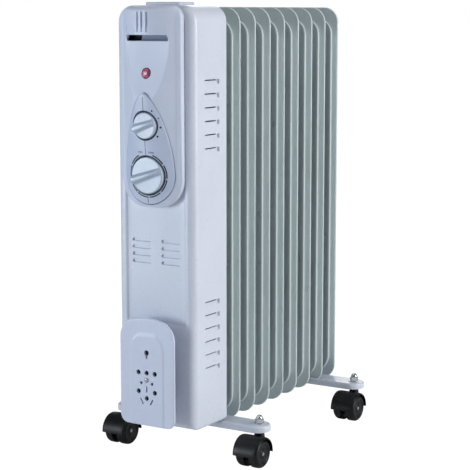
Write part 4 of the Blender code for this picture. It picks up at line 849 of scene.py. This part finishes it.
def dial_outline(grow, sides=120):
    """Egg shape as (x, z): a half circle below, and above it a curve that narrows to the tip."""
    angle = np.linspace(0, 2 * PI, sides, endpoint=False)
    lobe = DIAL_LOBE + grow
    reach = DIAL_TOP - THERMOSTAT_Z + grow
    up = np.sin(angle)
    lift = np.maximum(up, 0) ** 1.2
    across = np.where(up > 0, np.sign(np.cos(angle)) * (1 - np.minimum(lift, 1) ** 1.7) ** 0.62,
                      np.cos(angle))
    z = np.where(up > 0, THERMOSTAT_Z + reach * lift, THERMOSTAT_Z + lobe * up)
    return lobe * across, z


def dial_depth(x, z):
    return crown_depth(x, z) + DIAL_PROUD


def build_dial_plate():
    """Rings of the egg shape from its middle to its rim, lying on the panel's crown, with a
    rounded edge, and a skirt behind."""
    x_rim, z_rim = dial_outline(0)
    middle = 0.412
    share = np.concatenate([np.linspace(0.02, 0.93, 22), 1 - 0.06 * (1 - np.sin(
        np.linspace(0, PI / 2, 8)))])[:, None]
    x = x_rim[None] * share
    z = middle + (z_rim[None] - middle) * share
    fall = np.clip((share - 0.97) / 0.03, 0, 1)
    depth = dial_depth(x, z) - 0.0009 * (1 - np.sqrt(1 - fall ** 2))
    face = np.stack([x, FRONT - depth, z], -1)
    back = face[-1:].copy()
    back[:, :, 1] += DIAL_SKIRT
    made = make("dial_plate_fine", [tube(np.concatenate([face, back]))], DIAL_PLASTIC)
    wells = [tube(revolve([(radius + WELL_GAP, -0.002), (radius + WELL_GAP, 0.05)],
                          (0, FRONT, height), "-y", 72)) for _, radius, height in KNOBS]
    carve(made, wells)
    fit(made, "radiator", ["dial_plate"])


def print_arc(centre_z, radius, width, start, end):
    """A printed arc: a thin pad between two radii and two angles, laid on the dial plate."""
    steps = max(int(abs(end - start) / 3), 4)
    angle = np.radians(np.linspace(start, end, steps + 1))[None]
    reach = np.array([radius - width / 2, radius + width / 2])[:, None]
    return print_pad(reach * np.cos(angle), centre_z + reach * np.sin(angle))


def print_pad(x, z):
    """A printed patch given by a grid of (x, z), a little proud of the dial plate."""
    face = FRONT - dial_depth(x, z)
    return slab(sheet(x, face - INK_PROUD, z), sheet(x, face + 0.0003, z))


def print_line(x, low, high, width):
    z = np.linspace(low, high, 12)[None]
    return print_pad(x + np.array([[-width / 2], [width / 2]]) + 0 * z, z + np.zeros((2, 1)))


def print_dot(angle, size):
    turn = math.radians(angle)
    x, z = MARK_REACH * math.cos(turn), SELECTOR_Z + MARK_REACH * math.sin(turn)
    spread = np.linspace(-1, 1, 9)
    a, b = np.meshgrid(spread, spread)
    round_x = a * np.sqrt(1 - b ** 2 / 2) * size
    round_z = b * np.sqrt(1 - a ** 2 / 2) * size
    return print_pad(x + round_x, z + round_z)


def build_print():
    """A dashed arc around the thermostat, a ring around each knob, the selector's marks, and the
    plate's middle line in three lengths."""
    starts = [DASH_START - DASH_PITCH * dash for dash in range(ARC_DASHES)]
    shapes = [print_arc(THERMOSTAT_Z, ARC_RADIUS, ARC_WIDTH, start, start - DASH_SPAN) for start in starts]
    for _, radius, height in KNOBS:
        for start in (0.0, 180.0):
            shapes.append(print_arc(height, radius + RING_REACH, RING_WIDTH, start, start + 180.0))
    shapes += [print_dot(*mark) for mark in MARKS]
    fit(make("dial_black_print", shapes, INK), "radiator")
    lines = [print_line(LINE_X, SELECTOR_Z + SELECTOR_RADIUS + LINE_GAP, DIAL_TOP - 0.0045, 0.0007),
             print_line(LINE_X, THERMOSTAT_Z + THERMOSTAT_RADIUS + LINE_GAP,
                        SELECTOR_Z - SELECTOR_RADIUS - LINE_GAP, 0.0007),
             print_line(LINE_X, THERMOSTAT_Z - DIAL_LOBE + 0.0014, THERMOSTAT_Z - 0.0290, 0.0009)]
    fit(make("dial_grey_lines", lines, GREY_INK_AND_SHADE), "radiator")


def build_groove_shade():
    """Painted shade: a dark line along the bottom of each groove in the bar, where shade falls."""
    grooves = []
    z = np.linspace(GRIP_HIGH + 0.0062, PANEL_HIGH - 0.0090, 16)[None] + np.zeros((2, 1))
    for middle in BAR_GROOVES:
        x = middle + np.array([[-0.0006], [0.0006]]) + 0 * z
        floor = FRONT - panel_depth(x, z) + bar_grooves(x, z)
        grooves.append(slab(sheet(x, floor - 0.00015, z), sheet(x, floor + 0.0004, z)))
    fit(make("bar_groove_painted_shade", grooves, GREY_INK_AND_SHADE), "radiator")


def build_words():
    """The words beside the thermostat's arc, as flat letters laid on the dial plate's crown."""
    for name, word, x in (("dial_word_min", "min", -0.0128), ("dial_word_max", "max", 0.0040)):
        curve = bpy.data.curves.new(name, "FONT")
        curve.body = word
        curve.size = WORD_SIZE
        curve.resolution_u = 3
        text = bpy.data.objects.new(name, curve)
        bpy.context.scene.collection.objects.link(text)
        bpy.context.view_layer.update()
        mesh = bpy.data.meshes.new_from_object(text.evaluated_get(
            bpy.context.evaluated_depsgraph_get()))
        bpy.data.objects.remove(text)
        points = np.empty(len(mesh.vertices) * 3)
        mesh.vertices.foreach_get("co", points)
        flat = points.reshape(-1, 3)
        across = flat[:, 0] + x
        up = flat[:, 1] + THERMOSTAT_Z + WORD_RISE
        placed = np.stack([across, FRONT - dial_depth(across, up) - 0.00014, up], -1)
        mesh.vertices.foreach_set("co", placed.ravel())
        mesh.materials.clear()
        mesh.materials.append(GREY_INK_AND_SHADE)
        made = bpy.data.objects.new(name, mesh)
        bpy.context.scene.collection.objects.link(made)
        thick = made.modifiers.new("ink", "SOLIDIFY")
        thick.thickness = 0.0003
        thick.offset = -1
        settle(made)
        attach(made, "radiator")


def knob_grid(radius, height):
    """Rings from the middle of the top over the edge, down the side and in behind. A grip ridge
    lies across the top, 18 degrees off level: its height falls off smoothly on both sides, and its
    left end runs out past the rim to a point."""
    angle = np.linspace(0, 2 * PI, 96, endpoint=False)[None]
    top = np.concatenate([np.linspace(0.02, 0.9, 26), 1 - 0.1 * (1 - np.linspace(0, 1, 8))[1:-1]])
    reach = (radius - KNOB_BEVEL) * np.append(top, 1.0)[:, None]
    a, b = reach * np.cos(angle - KNOB_TILT), reach * np.sin(angle - KNOB_TILT)
    slim = 0.0036 + 0.0011 * np.clip(-a / radius, -1, 1)
    ridge = smooth((slim + 0.0022 - np.abs(b)) / 0.0046)
    crest = KNOB_RIDGE * (0.86 + 0.14 * np.cos(PI / 2 * np.clip(a / radius, -1, 1)))
    lift = KNOB_STAND + crest * ridge * smooth((radius * 1.04 - np.abs(a)) / (0.30 * radius))
    lift = np.where(a < 0, KNOB_STAND + crest * ridge, lift)
    rim_a, rim_b = np.cos(angle - KNOB_TILT), radius * np.sin(angle - KNOB_TILT)
    pointed = np.where(rim_a < 0, smooth(1 - np.abs(rim_b) / 0.0042), 0)
    turn = np.linspace(0, PI / 2, 6)[1:, None]
    edge_reach = radius - KNOB_BEVEL + KNOB_BEVEL * np.sin(turn) + POINT_REACH * pointed * np.sin(turn)
    edge_lift = lift[-1:] - KNOB_BEVEL * (1 - np.cos(turn))
    floor = np.minimum(edge_lift[-1:], POINT_ROOM * pointed)
    wall_share = np.linspace(0, 1, 6)[1:, None]
    wall_lift = edge_lift[-1:] * (1 - wall_share) + floor * wall_share
    wall_reach = np.repeat(radius + POINT_REACH * pointed, 5, 0)
    skirt_reach = np.full((2, angle.shape[1]), radius)
    skirt_lift = np.vstack([floor, np.full((1, angle.shape[1]), -KNOB_SINK)])
    reach_all = np.vstack([np.repeat(reach, angle.shape[1], 1), edge_reach, wall_reach, skirt_reach])
    lift_all = np.vstack([lift, edge_lift, wall_lift, skirt_lift])
    face = float(face_line(height)) + DIAL_PROUD
    return np.stack([reach_all * np.cos(angle), FRONT - face - lift_all,
                     height + reach_all * np.sin(angle)], -1)


def build_knobs():
    for name, radius, height in KNOBS:
        made = make(f"{name}_knob_fine", [tube(knob_grid(radius, height))], KNOB_PLASTIC_SHADED)
        fit(made, name, [f"{name}_knob"])


def build_lamp():
    """A low dome with fine rings, in a dark seat."""
    face = float(panel_depth(np.array(0.0), np.array(LAMP_Z)))
    angle = np.linspace(0, PI / 2, 12)
    ripple = 0.00012 * np.cos(angle * 16)
    dome = np.stack([LENS_RADIUS * np.sin(angle), 0.0017 * np.cos(angle) + ripple], 1)
    dome[0] = (0.0001, dome[0, 1])
    profile = np.vstack([dome, [(LENS_RADIUS, -0.006), (0.0001, -0.006)]])
    lens = make("indicator_lens_fine", [tube(revolve(profile, (0, FRONT - face, LAMP_Z), "-y", 40))],
                LENS_RED)
    fit(lens, "radiator", ["indicator_lens"])
    seat = revolve([(LENS_RADIUS + 0.0009, -0.004), (LENS_RADIUS + 0.0009, 0.0000),
                    (LENS_RADIUS + 0.0005, 0.0003), (LENS_RADIUS + 0.0002, 0.0),
                    (LENS_RADIUS + 0.0002, -0.004)], (0, FRONT - face, LAMP_Z), "-y", 40)
    loop = np.concatenate([seat, seat[:1]])
    fit(make("lamp_seat", [tube(loop, False)], INK), "radiator")


def build_top_cover():
    """A flat plate with round corners whose upper edge is rounded over."""
    low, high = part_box("top_cover")
    half, middle = high.x, (low.y + high.y) / 2
    depth = (high.y - low.y) / 2
    turn = np.linspace(0, PI / 2, 7)
    round_over = 0.0016
    inward = np.concatenate([[0.0004, 0.0], round_over * (1 - np.cos(turn)), [0.0055, 0.0062]])
    rise = np.concatenate([[low.z, low.z + 0.0004], high.z - round_over * (1 - np.sin(turn)),
                           [high.z, high.z - 0.0005]])
    corner = np.maximum(0.0062 - inward, 0.001)
    x, y = rounded(half - inward, -depth + inward, depth - inward, corner, 12)
    made = make("top_cover_fine", [tube(sheet(x, y + middle, rise[:, None]))], PANEL_PLASTIC)
    fit(made, "radiator", ["top_cover"])


# ---------------------------------------------------------------- plug holder

def holder_rise(x, z):
    """The arch lifts the plate's upper half by a cosine across its width."""
    share = smooth((z - HOLDER_LOW) / (HOLDER_HIGH - HOLDER_ARCH - HOLDER_LOW) * 2 - 1)
    return HOLDER_ARCH * np.cos(PI / 2 * np.clip(x / HOLDER_HALF, -1, 1)) * share


def holder_plate():
    """The arched plate: two grids over its outline, the front one with a rounded edge and a raised
    middle field."""
    top = HOLDER_HIGH - HOLDER_ARCH
    quarter = np.linspace(0, PI / 2, 11)
    heights = np.concatenate([HOLDER_LOW + HOLDER_LOW_CORNER * (1 - np.cos(quarter)),
                              np.linspace(HOLDER_LOW + 0.014, top - 0.022, 60),
                              top - HOLDER_TOP_CORNER + HOLDER_TOP_CORNER * np.sin(quarter)])
    rim = HOLDER_ROUND * (1 - np.cos(np.linspace(0, PI / 2, 6)))
    across = np.concatenate([HOLDER_HALF - rim, np.linspace(0, HOLDER_HALF - 0.003, 34)])
    columns = np.unique(np.round(np.concatenate([-across, across]), 6))
    z = np.repeat(heights[:, None], len(columns), 1)
    x = half_width(z, HOLDER_HALF, HOLDER_LOW, top, HOLDER_LOW_CORNER,
                   HOLDER_TOP_CORNER) * columns / HOLDER_HALF
    corner = np.where(z > (HOLDER_LOW + top) / 2, HOLDER_TOP_CORNER, HOLDER_LOW_CORNER)
    inward = edge_distance(x, z, HOLDER_HALF, HOLDER_LOW, top, corner)
    fall = 1 - np.clip(inward / HOLDER_ROUND, 0, 1)
    stand = HOLDER_STAND + HOLDER_THICKNESS - FIELD_RISE - 0.0015 * (1 - np.sqrt(1 - fall ** 2))
    field = edge_distance(x, z, 0.0275, HOLDER_LOW - 0.04, HOLDER_HIGH - 0.028, 0.018)
    stand = stand + FIELD_RISE * smooth(field / 0.0014)
    lifted = z + holder_rise(x, z)
    return slab(sheet(x, FRONT - stand, lifted), sheet(x, FRONT - HOLDER_STAND, lifted))


def holder_hole(x, z, radius):
    """A round hole through the plate."""
    return tube(revolve([(radius, HOLDER_STAND - 0.002), (radius, HOLDER_STAND + 0.008)],
                        (x, FRONT, z), "-y", 28))


def holder_slot(outline):
    """A hole of any outline through the plate."""
    return prism(outline, FRONT - HOLDER_STAND - 0.008, FRONT - HOLDER_STAND + 0.002)


def pin_slot(x, z, turn):
    """A narrow slot with round ends, turned by some degrees."""
    angle = np.linspace(0, 2 * PI, 24, endpoint=False)
    way = np.sign(np.sin(angle)) * (np.abs(np.sin(angle)) > 1e-6)
    outline = np.stack([PIN_SLOT_HALF * np.cos(angle),
                        PIN_SLOT_REACH * way + PIN_SLOT_HALF * np.sin(angle)], 1)
    return holder_slot(turned(outline, turn) + [x, z])


def holder_holes():
    """Eight round holes for plug pins in a mirrored pattern around the post, three slots, and a keyhole.
    """
    holes = []
    for side in (-1, 1):
        for rise in (0.010, -0.016):
            holes.append(holder_hole(side * 0.0132, POST_Z + rise, PIN_RADIUS))
        holes.append(holder_hole(side * 0.0088, POST_Z - 0.0043, 0.0022))
        holes.append(pin_slot(side * 0.0078, POST_Z - 0.0295, -side * 28))
    for rise in (0.010, -0.025):
        holes.append(holder_hole(0, POST_Z + rise, PIN_RADIUS))
    holes.append(pin_slot(0, POST_Z - 0.0125, 0))
    holes.append(holder_hole(0, POST_Z + KEYHOLE_RISE, 0.0038))
    tail = np.array([(-0.0014, -0.0078), (0.0014, -0.0078), (0.0014, -0.002), (-0.0014, -0.002)])
    holes.append(holder_slot(tail + [0, POST_Z + KEYHOLE_RISE]))
    return holes


def build_holder_screw():
    """A domed head with a cross cut into it."""
    face = HOLDER_STAND + HOLDER_THICKNESS + 0.0001
    head = bend([(0.0001, face + 0.0015), (0.0020, face + 0.0015), (0.0031, face + 0.0009),
                 (0.0032, face), (0.0001, face)], 2)
    screw = make("plug_holder_screw_fine", [tube(revolve(head, (0, FRONT, POST_Z), "-y", 36))], ZINC)
    bar = np.array([(-0.0021, -0.0003), (0.0021, -0.0003), (0.0021, 0.0003), (-0.0021, 0.0003)])
    for turn in (25, 115):
        carve(screw, [prism(turned(bar, turn) + [0, POST_Z], FRONT - face - 0.0009,
                            FRONT - face - 0.004)])
    fit(screw, "radiator", ["plug_holder_screw"])


def build_plug_holder():
    """The plate with its holes, a post that holds it off the casing, and a black sheet behind the holes as
    painted shadow, so that they read dark."""
    made = make("plug_holder_fine", [holder_plate()], PANEL_PLASTIC)
    for hole in holder_holes():
        carve(made, [hole])
    fit(made, "radiator", ["plug_holder"])
    post = revolve(bend([(POST_RADIUS + 0.0015, 0.0003), (POST_RADIUS, 0.0028),
                         (POST_RADIUS, HOLDER_STAND - 0.0025),
                         (POST_RADIUS + 0.0012, HOLDER_STAND - 0.0001)], 2), (0, FRONT, POST_Z), "-y", 40)
    fit(make("plug_holder_post", [tube(post)], PANEL_PLASTIC), "radiator")
    # A black sheet behind the holes: painted shadow for the dark seen through them.
    inward = np.array([0.003, 0.0004, 0.0, 0.0, 0.0004, 0.003])
    rear = np.array([0.0002, 0.0002, 0.0005, 0.0009, 0.0012, 0.0012])
    x, z = rounded(0.021 - inward, POST_Z - 0.036 + inward, POST_Z + 0.045 - inward, 0.006 - inward)
    hole_shadow = tube(sheet(x, (FRONT - HOLDER_STAND + rear)[:, None], z))
    fit(make("plug_holder_hole_shadow", [hole_shadow], CASTER_BLACK_AND_SHADOW), "radiator")
    build_holder_screw()


# ---------------------------------------------------------------- feet

def build_bracket(name, middle):
    """A pressed tray with round ends: rings from the top's middle over its edge, down the skirt
    and in again under the sheet."""
    round_over = 0.0032
    turn = np.linspace(0, PI / 2, 8)
    slim = round_over - BRACKET_WALL
    inward = np.concatenate([[0.012, 0.007], round_over * (1 - np.sin(turn)), [0.0, BRACKET_WALL],
                             BRACKET_WALL + slim * (1 - np.sin(turn[::-1])), [0.007, 0.012]])
    drop = np.concatenate([[0.0, 0.0], round_over * (1 - np.cos(turn)), [BRACKET_SKIRT] * 2,
                           BRACKET_WALL + slim * (1 - np.cos(turn[::-1])), [BRACKET_WALL] * 2])
    half = BRACKET_HALF_WIDTH - inward
    length = BRACKET_HALF_LENGTH - inward
    y, x = rounded(half, -length, length, half - 0.00001, 14)
    made = make(f"{name}_fine", [tube(sheet(x, y + middle, BRACKET_TOP - drop[:, None]))], CASING_ENAMEL)
    rim = middle + FIN_SPREAD - ELEMENT_PITCH / 2
    reach = FIN_HALF + 0.001
    across = np.array([-reach, reach, reach, -reach])
    along = rim + (FIN_BEAD + GAP) * np.array([-1, -1, 1, 1])
    carve(made, [tube(sheet(across, along, np.array([[0.04], [0.07]])))])
    fit(made, "radiator", [name])


def build_clamp(place):
    """A U-bolt over the low collar, as the CAD bolt lies, with finer sides."""
    name = f"clamp_bolt_{place}"
    low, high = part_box(name)
    middle = (low.y + high.y) / 2
    radius = (high.y - low.y) / 2
    reach = high.x - radius
    arc = np.linspace(0, PI, 33)
    crown = high.z - radius - reach
    path = np.concatenate([[(reach, middle, low.z)],
                           sheet(reach * np.cos(arc), middle, crown + reach * np.sin(arc)),
                           [(-reach, middle, low.z)]])
    fit(make(f"{name}_fine", [tube(swept(path, radius))], ZINC), "radiator", [name])


def arch(loop, x, y, start, end, steps):
    """A loop of (way along the axle, radius) carried over the wheels between two angles."""
    angle = np.radians(np.linspace(start, end, steps))[:, None]
    return tube(sheet(loop[:, 0] + x, y + loop[:, 1] * np.cos(angle),
                      WHEEL_RADIUS + loop[:, 1] * np.sin(angle)))


def hood_shape(x, y):
    """The hood's roof is a half ring: a strip with rounded edges carried over the wheels, a little
    past level at both ends."""
    wall = 0.0024
    strip = bend([(-HOOD_HALF, HOOD_RADIUS - wall), (-HOOD_HALF, HOOD_RADIUS - 0.0012),
                  (-HOOD_HALF + 0.003, HOOD_RADIUS), (0, HOOD_RADIUS), (HOOD_HALF - 0.003, HOOD_RADIUS),
                  (HOOD_HALF, HOOD_RADIUS - 0.0012), (HOOD_HALF, HOOD_RADIUS - wall)], 2)
    loop = np.vstack([strip, [(HOOD_HALF - 0.0004, HOOD_RADIUS - wall),
                              (-HOOD_HALF + 0.0004, HOOD_RADIUS - wall)]])
    return arch(loop, x, y, -3, 183, 44)


def wheel_profile():
    """A wheel's section as a closed loop of (radius, way along the axle): the bore, the inner face,
    the tread, and an outer face with a groove around the hub."""
    inner, outer = WHEEL_INNER, WHEEL_INNER + WHEEL_THICK
    line = bend([(0.0029, inner + 0.0001), (0.0182, inner + 0.0001), (0.0198, inner + 0.0006),
                 (0.0200, inner + 0.0022), (0.0200, outer - 0.0050), (0.0194, outer - 0.0028),
                 (0.0176, outer - 0.0008), (0.0160, outer), (0.0136, outer), (0.0126, outer - 0.0016),
                 (0.0070, outer - 0.0018), (0.0062, outer - 0.0006), (0.0040, outer - 0.0004),
                 (0.0029, outer - 0.0008)], 2)
    return np.vstack([line, line[:1]])


def acorn_nut(x, y):
    """A washer rim, a hexagon whose corners are taken off at its top, and a round dome."""
    dome = np.linspace(PI / 2, 0, 10)
    flats = np.linspace(0.0017, 0.0066, 8)
    way = np.concatenate([[0.0, 0.0, 0.0006, 0.0014, 0.0017], flats, 0.0071 + 0.0054 * np.cos(dome)])
    reach = np.concatenate([[0.0027, 0.0070, 0.0072, 0.0070, 0.0066],
                            0.0071 - 0.0012 * smooth((flats - 0.0045) / 0.003), 0.0048 * np.sin(dome)])
    reach[-1] = 0.00012
    way, reach = way[:, None], reach[:, None]
    angle = np.linspace(0, 2 * PI, 72, endpoint=False)
    hexagon = NUT_HALF_FLATS / np.cos((angle + PI / 6) % (PI / 3) - PI / 6)
    spread = np.where((way > 0.0016) & (way < 0.0067), np.minimum(hexagon, reach), reach)
    return tube(sheet(x + spread * np.cos(angle), y + spread * np.sin(angle), BRACKET_TOP + GAP + way))


def build_caster(place):
    """Hood, wheels and the acorn nut of one caster, around the CAD stem."""
    stem_low, stem_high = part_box(f"caster_{place}_stem")
    x = (stem_low.x + stem_high.x) / 2
    pivot = (stem_low.y + stem_high.y) / 2
    y = pivot - AXLE_TRAIL
    body = f"caster_{place}"
    centre = (x, y, WHEEL_RADIUS)
    web = revolve(bend([(0.0035, -0.0029), (0.0118, -0.0029), (0.0122, -0.002), (0.0122, 0.002),
                        (0.0118, 0.0029), (0.0035, 0.0029)], 1), centre, "x", 40)
    plate = np.array([(-0.0028, 0.010), (-0.0028, 0.0220), (0.0028, 0.0220), (0.0028, 0.010)])
    rib = arch(plate, x, y, 20, 160, 24)
    neck = revolve(bend([(0.0045, 0.0300), (0.0088, 0.0310), (0.0072, 0.0400), (0.0068, 0.0440),
                         (0.0068, 0.0468), (0.0060, 0.0472), (0.0029, 0.0472)], 2),
                   (x, pivot, 0), "z", 40)
    hood = make(f"{body}_hood_fine", [hood_shape(x, y), tube(web), rib, tube(neck)], CASTER_BLACK_AND_SHADOW)
    fit(hood, body, [f"{body}_hood"])
    for side, word in ((-1, "left"), (1, "right")):
        wheel = tube(revolve(wheel_profile() * (1, side), centre, "x", 56), False)
        fit(make(f"{body}_wheel_{word}_fine", [wheel], CASTER_BLACK_AND_SHADOW), f"{body}_wheel_{word}",
            [f"{body}_wheel_{word}"])
    fit(make(f"{body}_nut_fine", [acorn_nut(x, pivot)], CHROME), "radiator", [f"{body}_nut"])


# ---------------------------------------------------------------- the object

build_elements()
build_casing()
build_panel()
build_grip_painted_shade()
build_dial_plate()
build_print()
build_groove_shade()
build_words()
build_knobs()
build_lamp()
build_top_cover()
build_plug_holder()
for end_name in ("front", "rear"):
    bracket_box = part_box(f"foot_bracket_{end_name}")
    build_bracket(f"foot_bracket_{end_name}", (bracket_box[0].y + bracket_box[1].y) / 2)
    build_clamp(end_name)
    for side_name in ("left", "right"):
        build_caster(f"{end_name}_{side_name}")

CARRIED = {"mounting_plate": ZINC, "rotary_switch": BAKELITE, "thermostat_body": BAKELITE,
           "thermal_cutout": ZINC, "terminal_block": CERAMIC, "heating_element": ZINC,
           "cord_gland": BAKELITE, "selector_shaft": ZINC, "thermostat_shaft": ZINC,
           "indicator_lamp": BAKELITE}
for node_name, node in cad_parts.items():
    if node.hide_render:
        continue
    coat = CARRIED.get(node_name, ZINC)
    for material_slot in node.material_slots:
        material_slot.material = coat


# ---------------------------------------------------------------- studio

def area_light(name, place, target, size, power, colour=(1, 1, 1)):
    lamp = bpy.data.lights.new(name, "AREA")
    lamp.shape = "RECTANGLE"
    lamp.size, lamp.size_y = size
    lamp.energy = power
    lamp.color = colour
    made = bpy.data.objects.new(name, lamp)
    made.location = place
    made.rotation_euler = (Vector(target) - Vector(place)).to_track_quat("-Z", "Y").to_euler()
    bpy.context.scene.collection.objects.link(made)


def build_world():
    """A plain white background, and a dimmer, slightly blue light from all around."""
    world = bpy.data.worlds.new("studio")
    world.use_nodes = True
    tree = world.node_tree
    lit = tree.nodes["Background"]
    lit.inputs["Color"].default_value = (0.84, 0.92, 1.0, 1.0)
    lit.inputs["Strength"].default_value = 0.17
    seen = tree.nodes.new("ShaderNodeBackground")
    seen.inputs["Color"].default_value = (1, 1, 1, 1)
    seen.inputs["Strength"].default_value = 1.0
    path = tree.nodes.new("ShaderNodeLightPath")
    choose = tree.nodes.new("ShaderNodeMixShader")
    tree.links.new(path.outputs["Is Camera Ray"], choose.inputs[0])
    tree.links.new(lit.outputs[0], choose.inputs[1])
    tree.links.new(seen.outputs[0], choose.inputs[2])
    tree.links.new(choose.outputs[0], tree.nodes["World Output"].inputs["Surface"])
    bpy.context.scene.world = world
    bpy.context.scene.view_settings.view_transform = "Standard"


def build_floor():
    """A pale floor that the camera sees as nearly white, with a trace of the shadows on it."""
    floor = bpy.data.meshes.new("studio_floor")
    floor.from_pydata([(-FLOOR_REACH, -FLOOR_REACH, 0), (FLOOR_REACH, -FLOOR_REACH, 0),
                       (FLOOR_REACH, FLOOR_REACH, 0), (-FLOOR_REACH, FLOOR_REACH, 0)], [], [(0, 1, 2, 3)])
    paint = bpy.data.materials.new("studio_floor")
    paint.use_nodes = True
    nodes = paint.node_tree.nodes
    links = paint.node_tree.links
    shader = nodes["Principled BSDF"]
    shader.inputs["Base Color"].default_value = (0.9, 0.9, 0.9, 1)
    shader.inputs["Roughness"].default_value = 0.8
    glow = nodes.new("ShaderNodeEmission")
    glow.inputs["Strength"].default_value = 1.1
    ray = nodes.new("ShaderNodeLightPath")
    share = nodes.new("ShaderNodeMath")
    share.operation = "MULTIPLY"
    share.inputs[1].default_value = FLOOR_GLOW
    both = nodes.new("ShaderNodeMixShader")
    links.new(ray.outputs["Is Camera Ray"], share.inputs[0])
    links.new(share.outputs[0], both.inputs[0])
    links.new(shader.outputs[0], both.inputs[1])
    links.new(glow.outputs[0], both.inputs[2])
    links.new(both.outputs[0], nodes["Material Output"].inputs["Surface"])
    floor.materials.append(paint)
    ground = bpy.data.objects.new("studio_floor", floor)
    bpy.context.scene.collection.objects.link(ground)


def build_lights():
    area_light("key_light", (-1.9, -2.4, 0.35), (0, -0.15, 0.3), (0.9, 1.1), 41, (0.83, 0.92, 1.0))
    area_light("side_light", (2.6, 0.5, 1.0), (0.05, 0, 0.3), (0.8, 1.6), 49, (1.0, 0.99, 0.97))
    area_light("top_light", (0.2, -0.6, 2.6), (0, 0, 0.4), (1.4, 1.4), 9)
    area_light("panel_light", (-0.7, -2.1, 1.3), (0, -0.2, 0.5), (0.7, 0.7), 4, (0.88, 0.94, 1.0))
    area_light("rear_light", (-1.2, 2.4, 1.3), (0, 0, 0.3), (1.2, 1.2), 16)


def build_camera():
    camera = bpy.data.cameras.new("camera")
    camera.lens = CAMERA_LENS
    camera.sensor_width = 36
    made = bpy.data.objects.new("camera", camera)
    made.location = CAMERA_PLACE
    made.rotation_euler = (math.radians(90 - CAMERA_DOWN), 0, math.radians(CAMERA_TURN))
    bpy.context.scene.collection.objects.link(made)
    bpy.context.scene.camera = made


build_world()
build_floor()
build_lights()
build_camera()
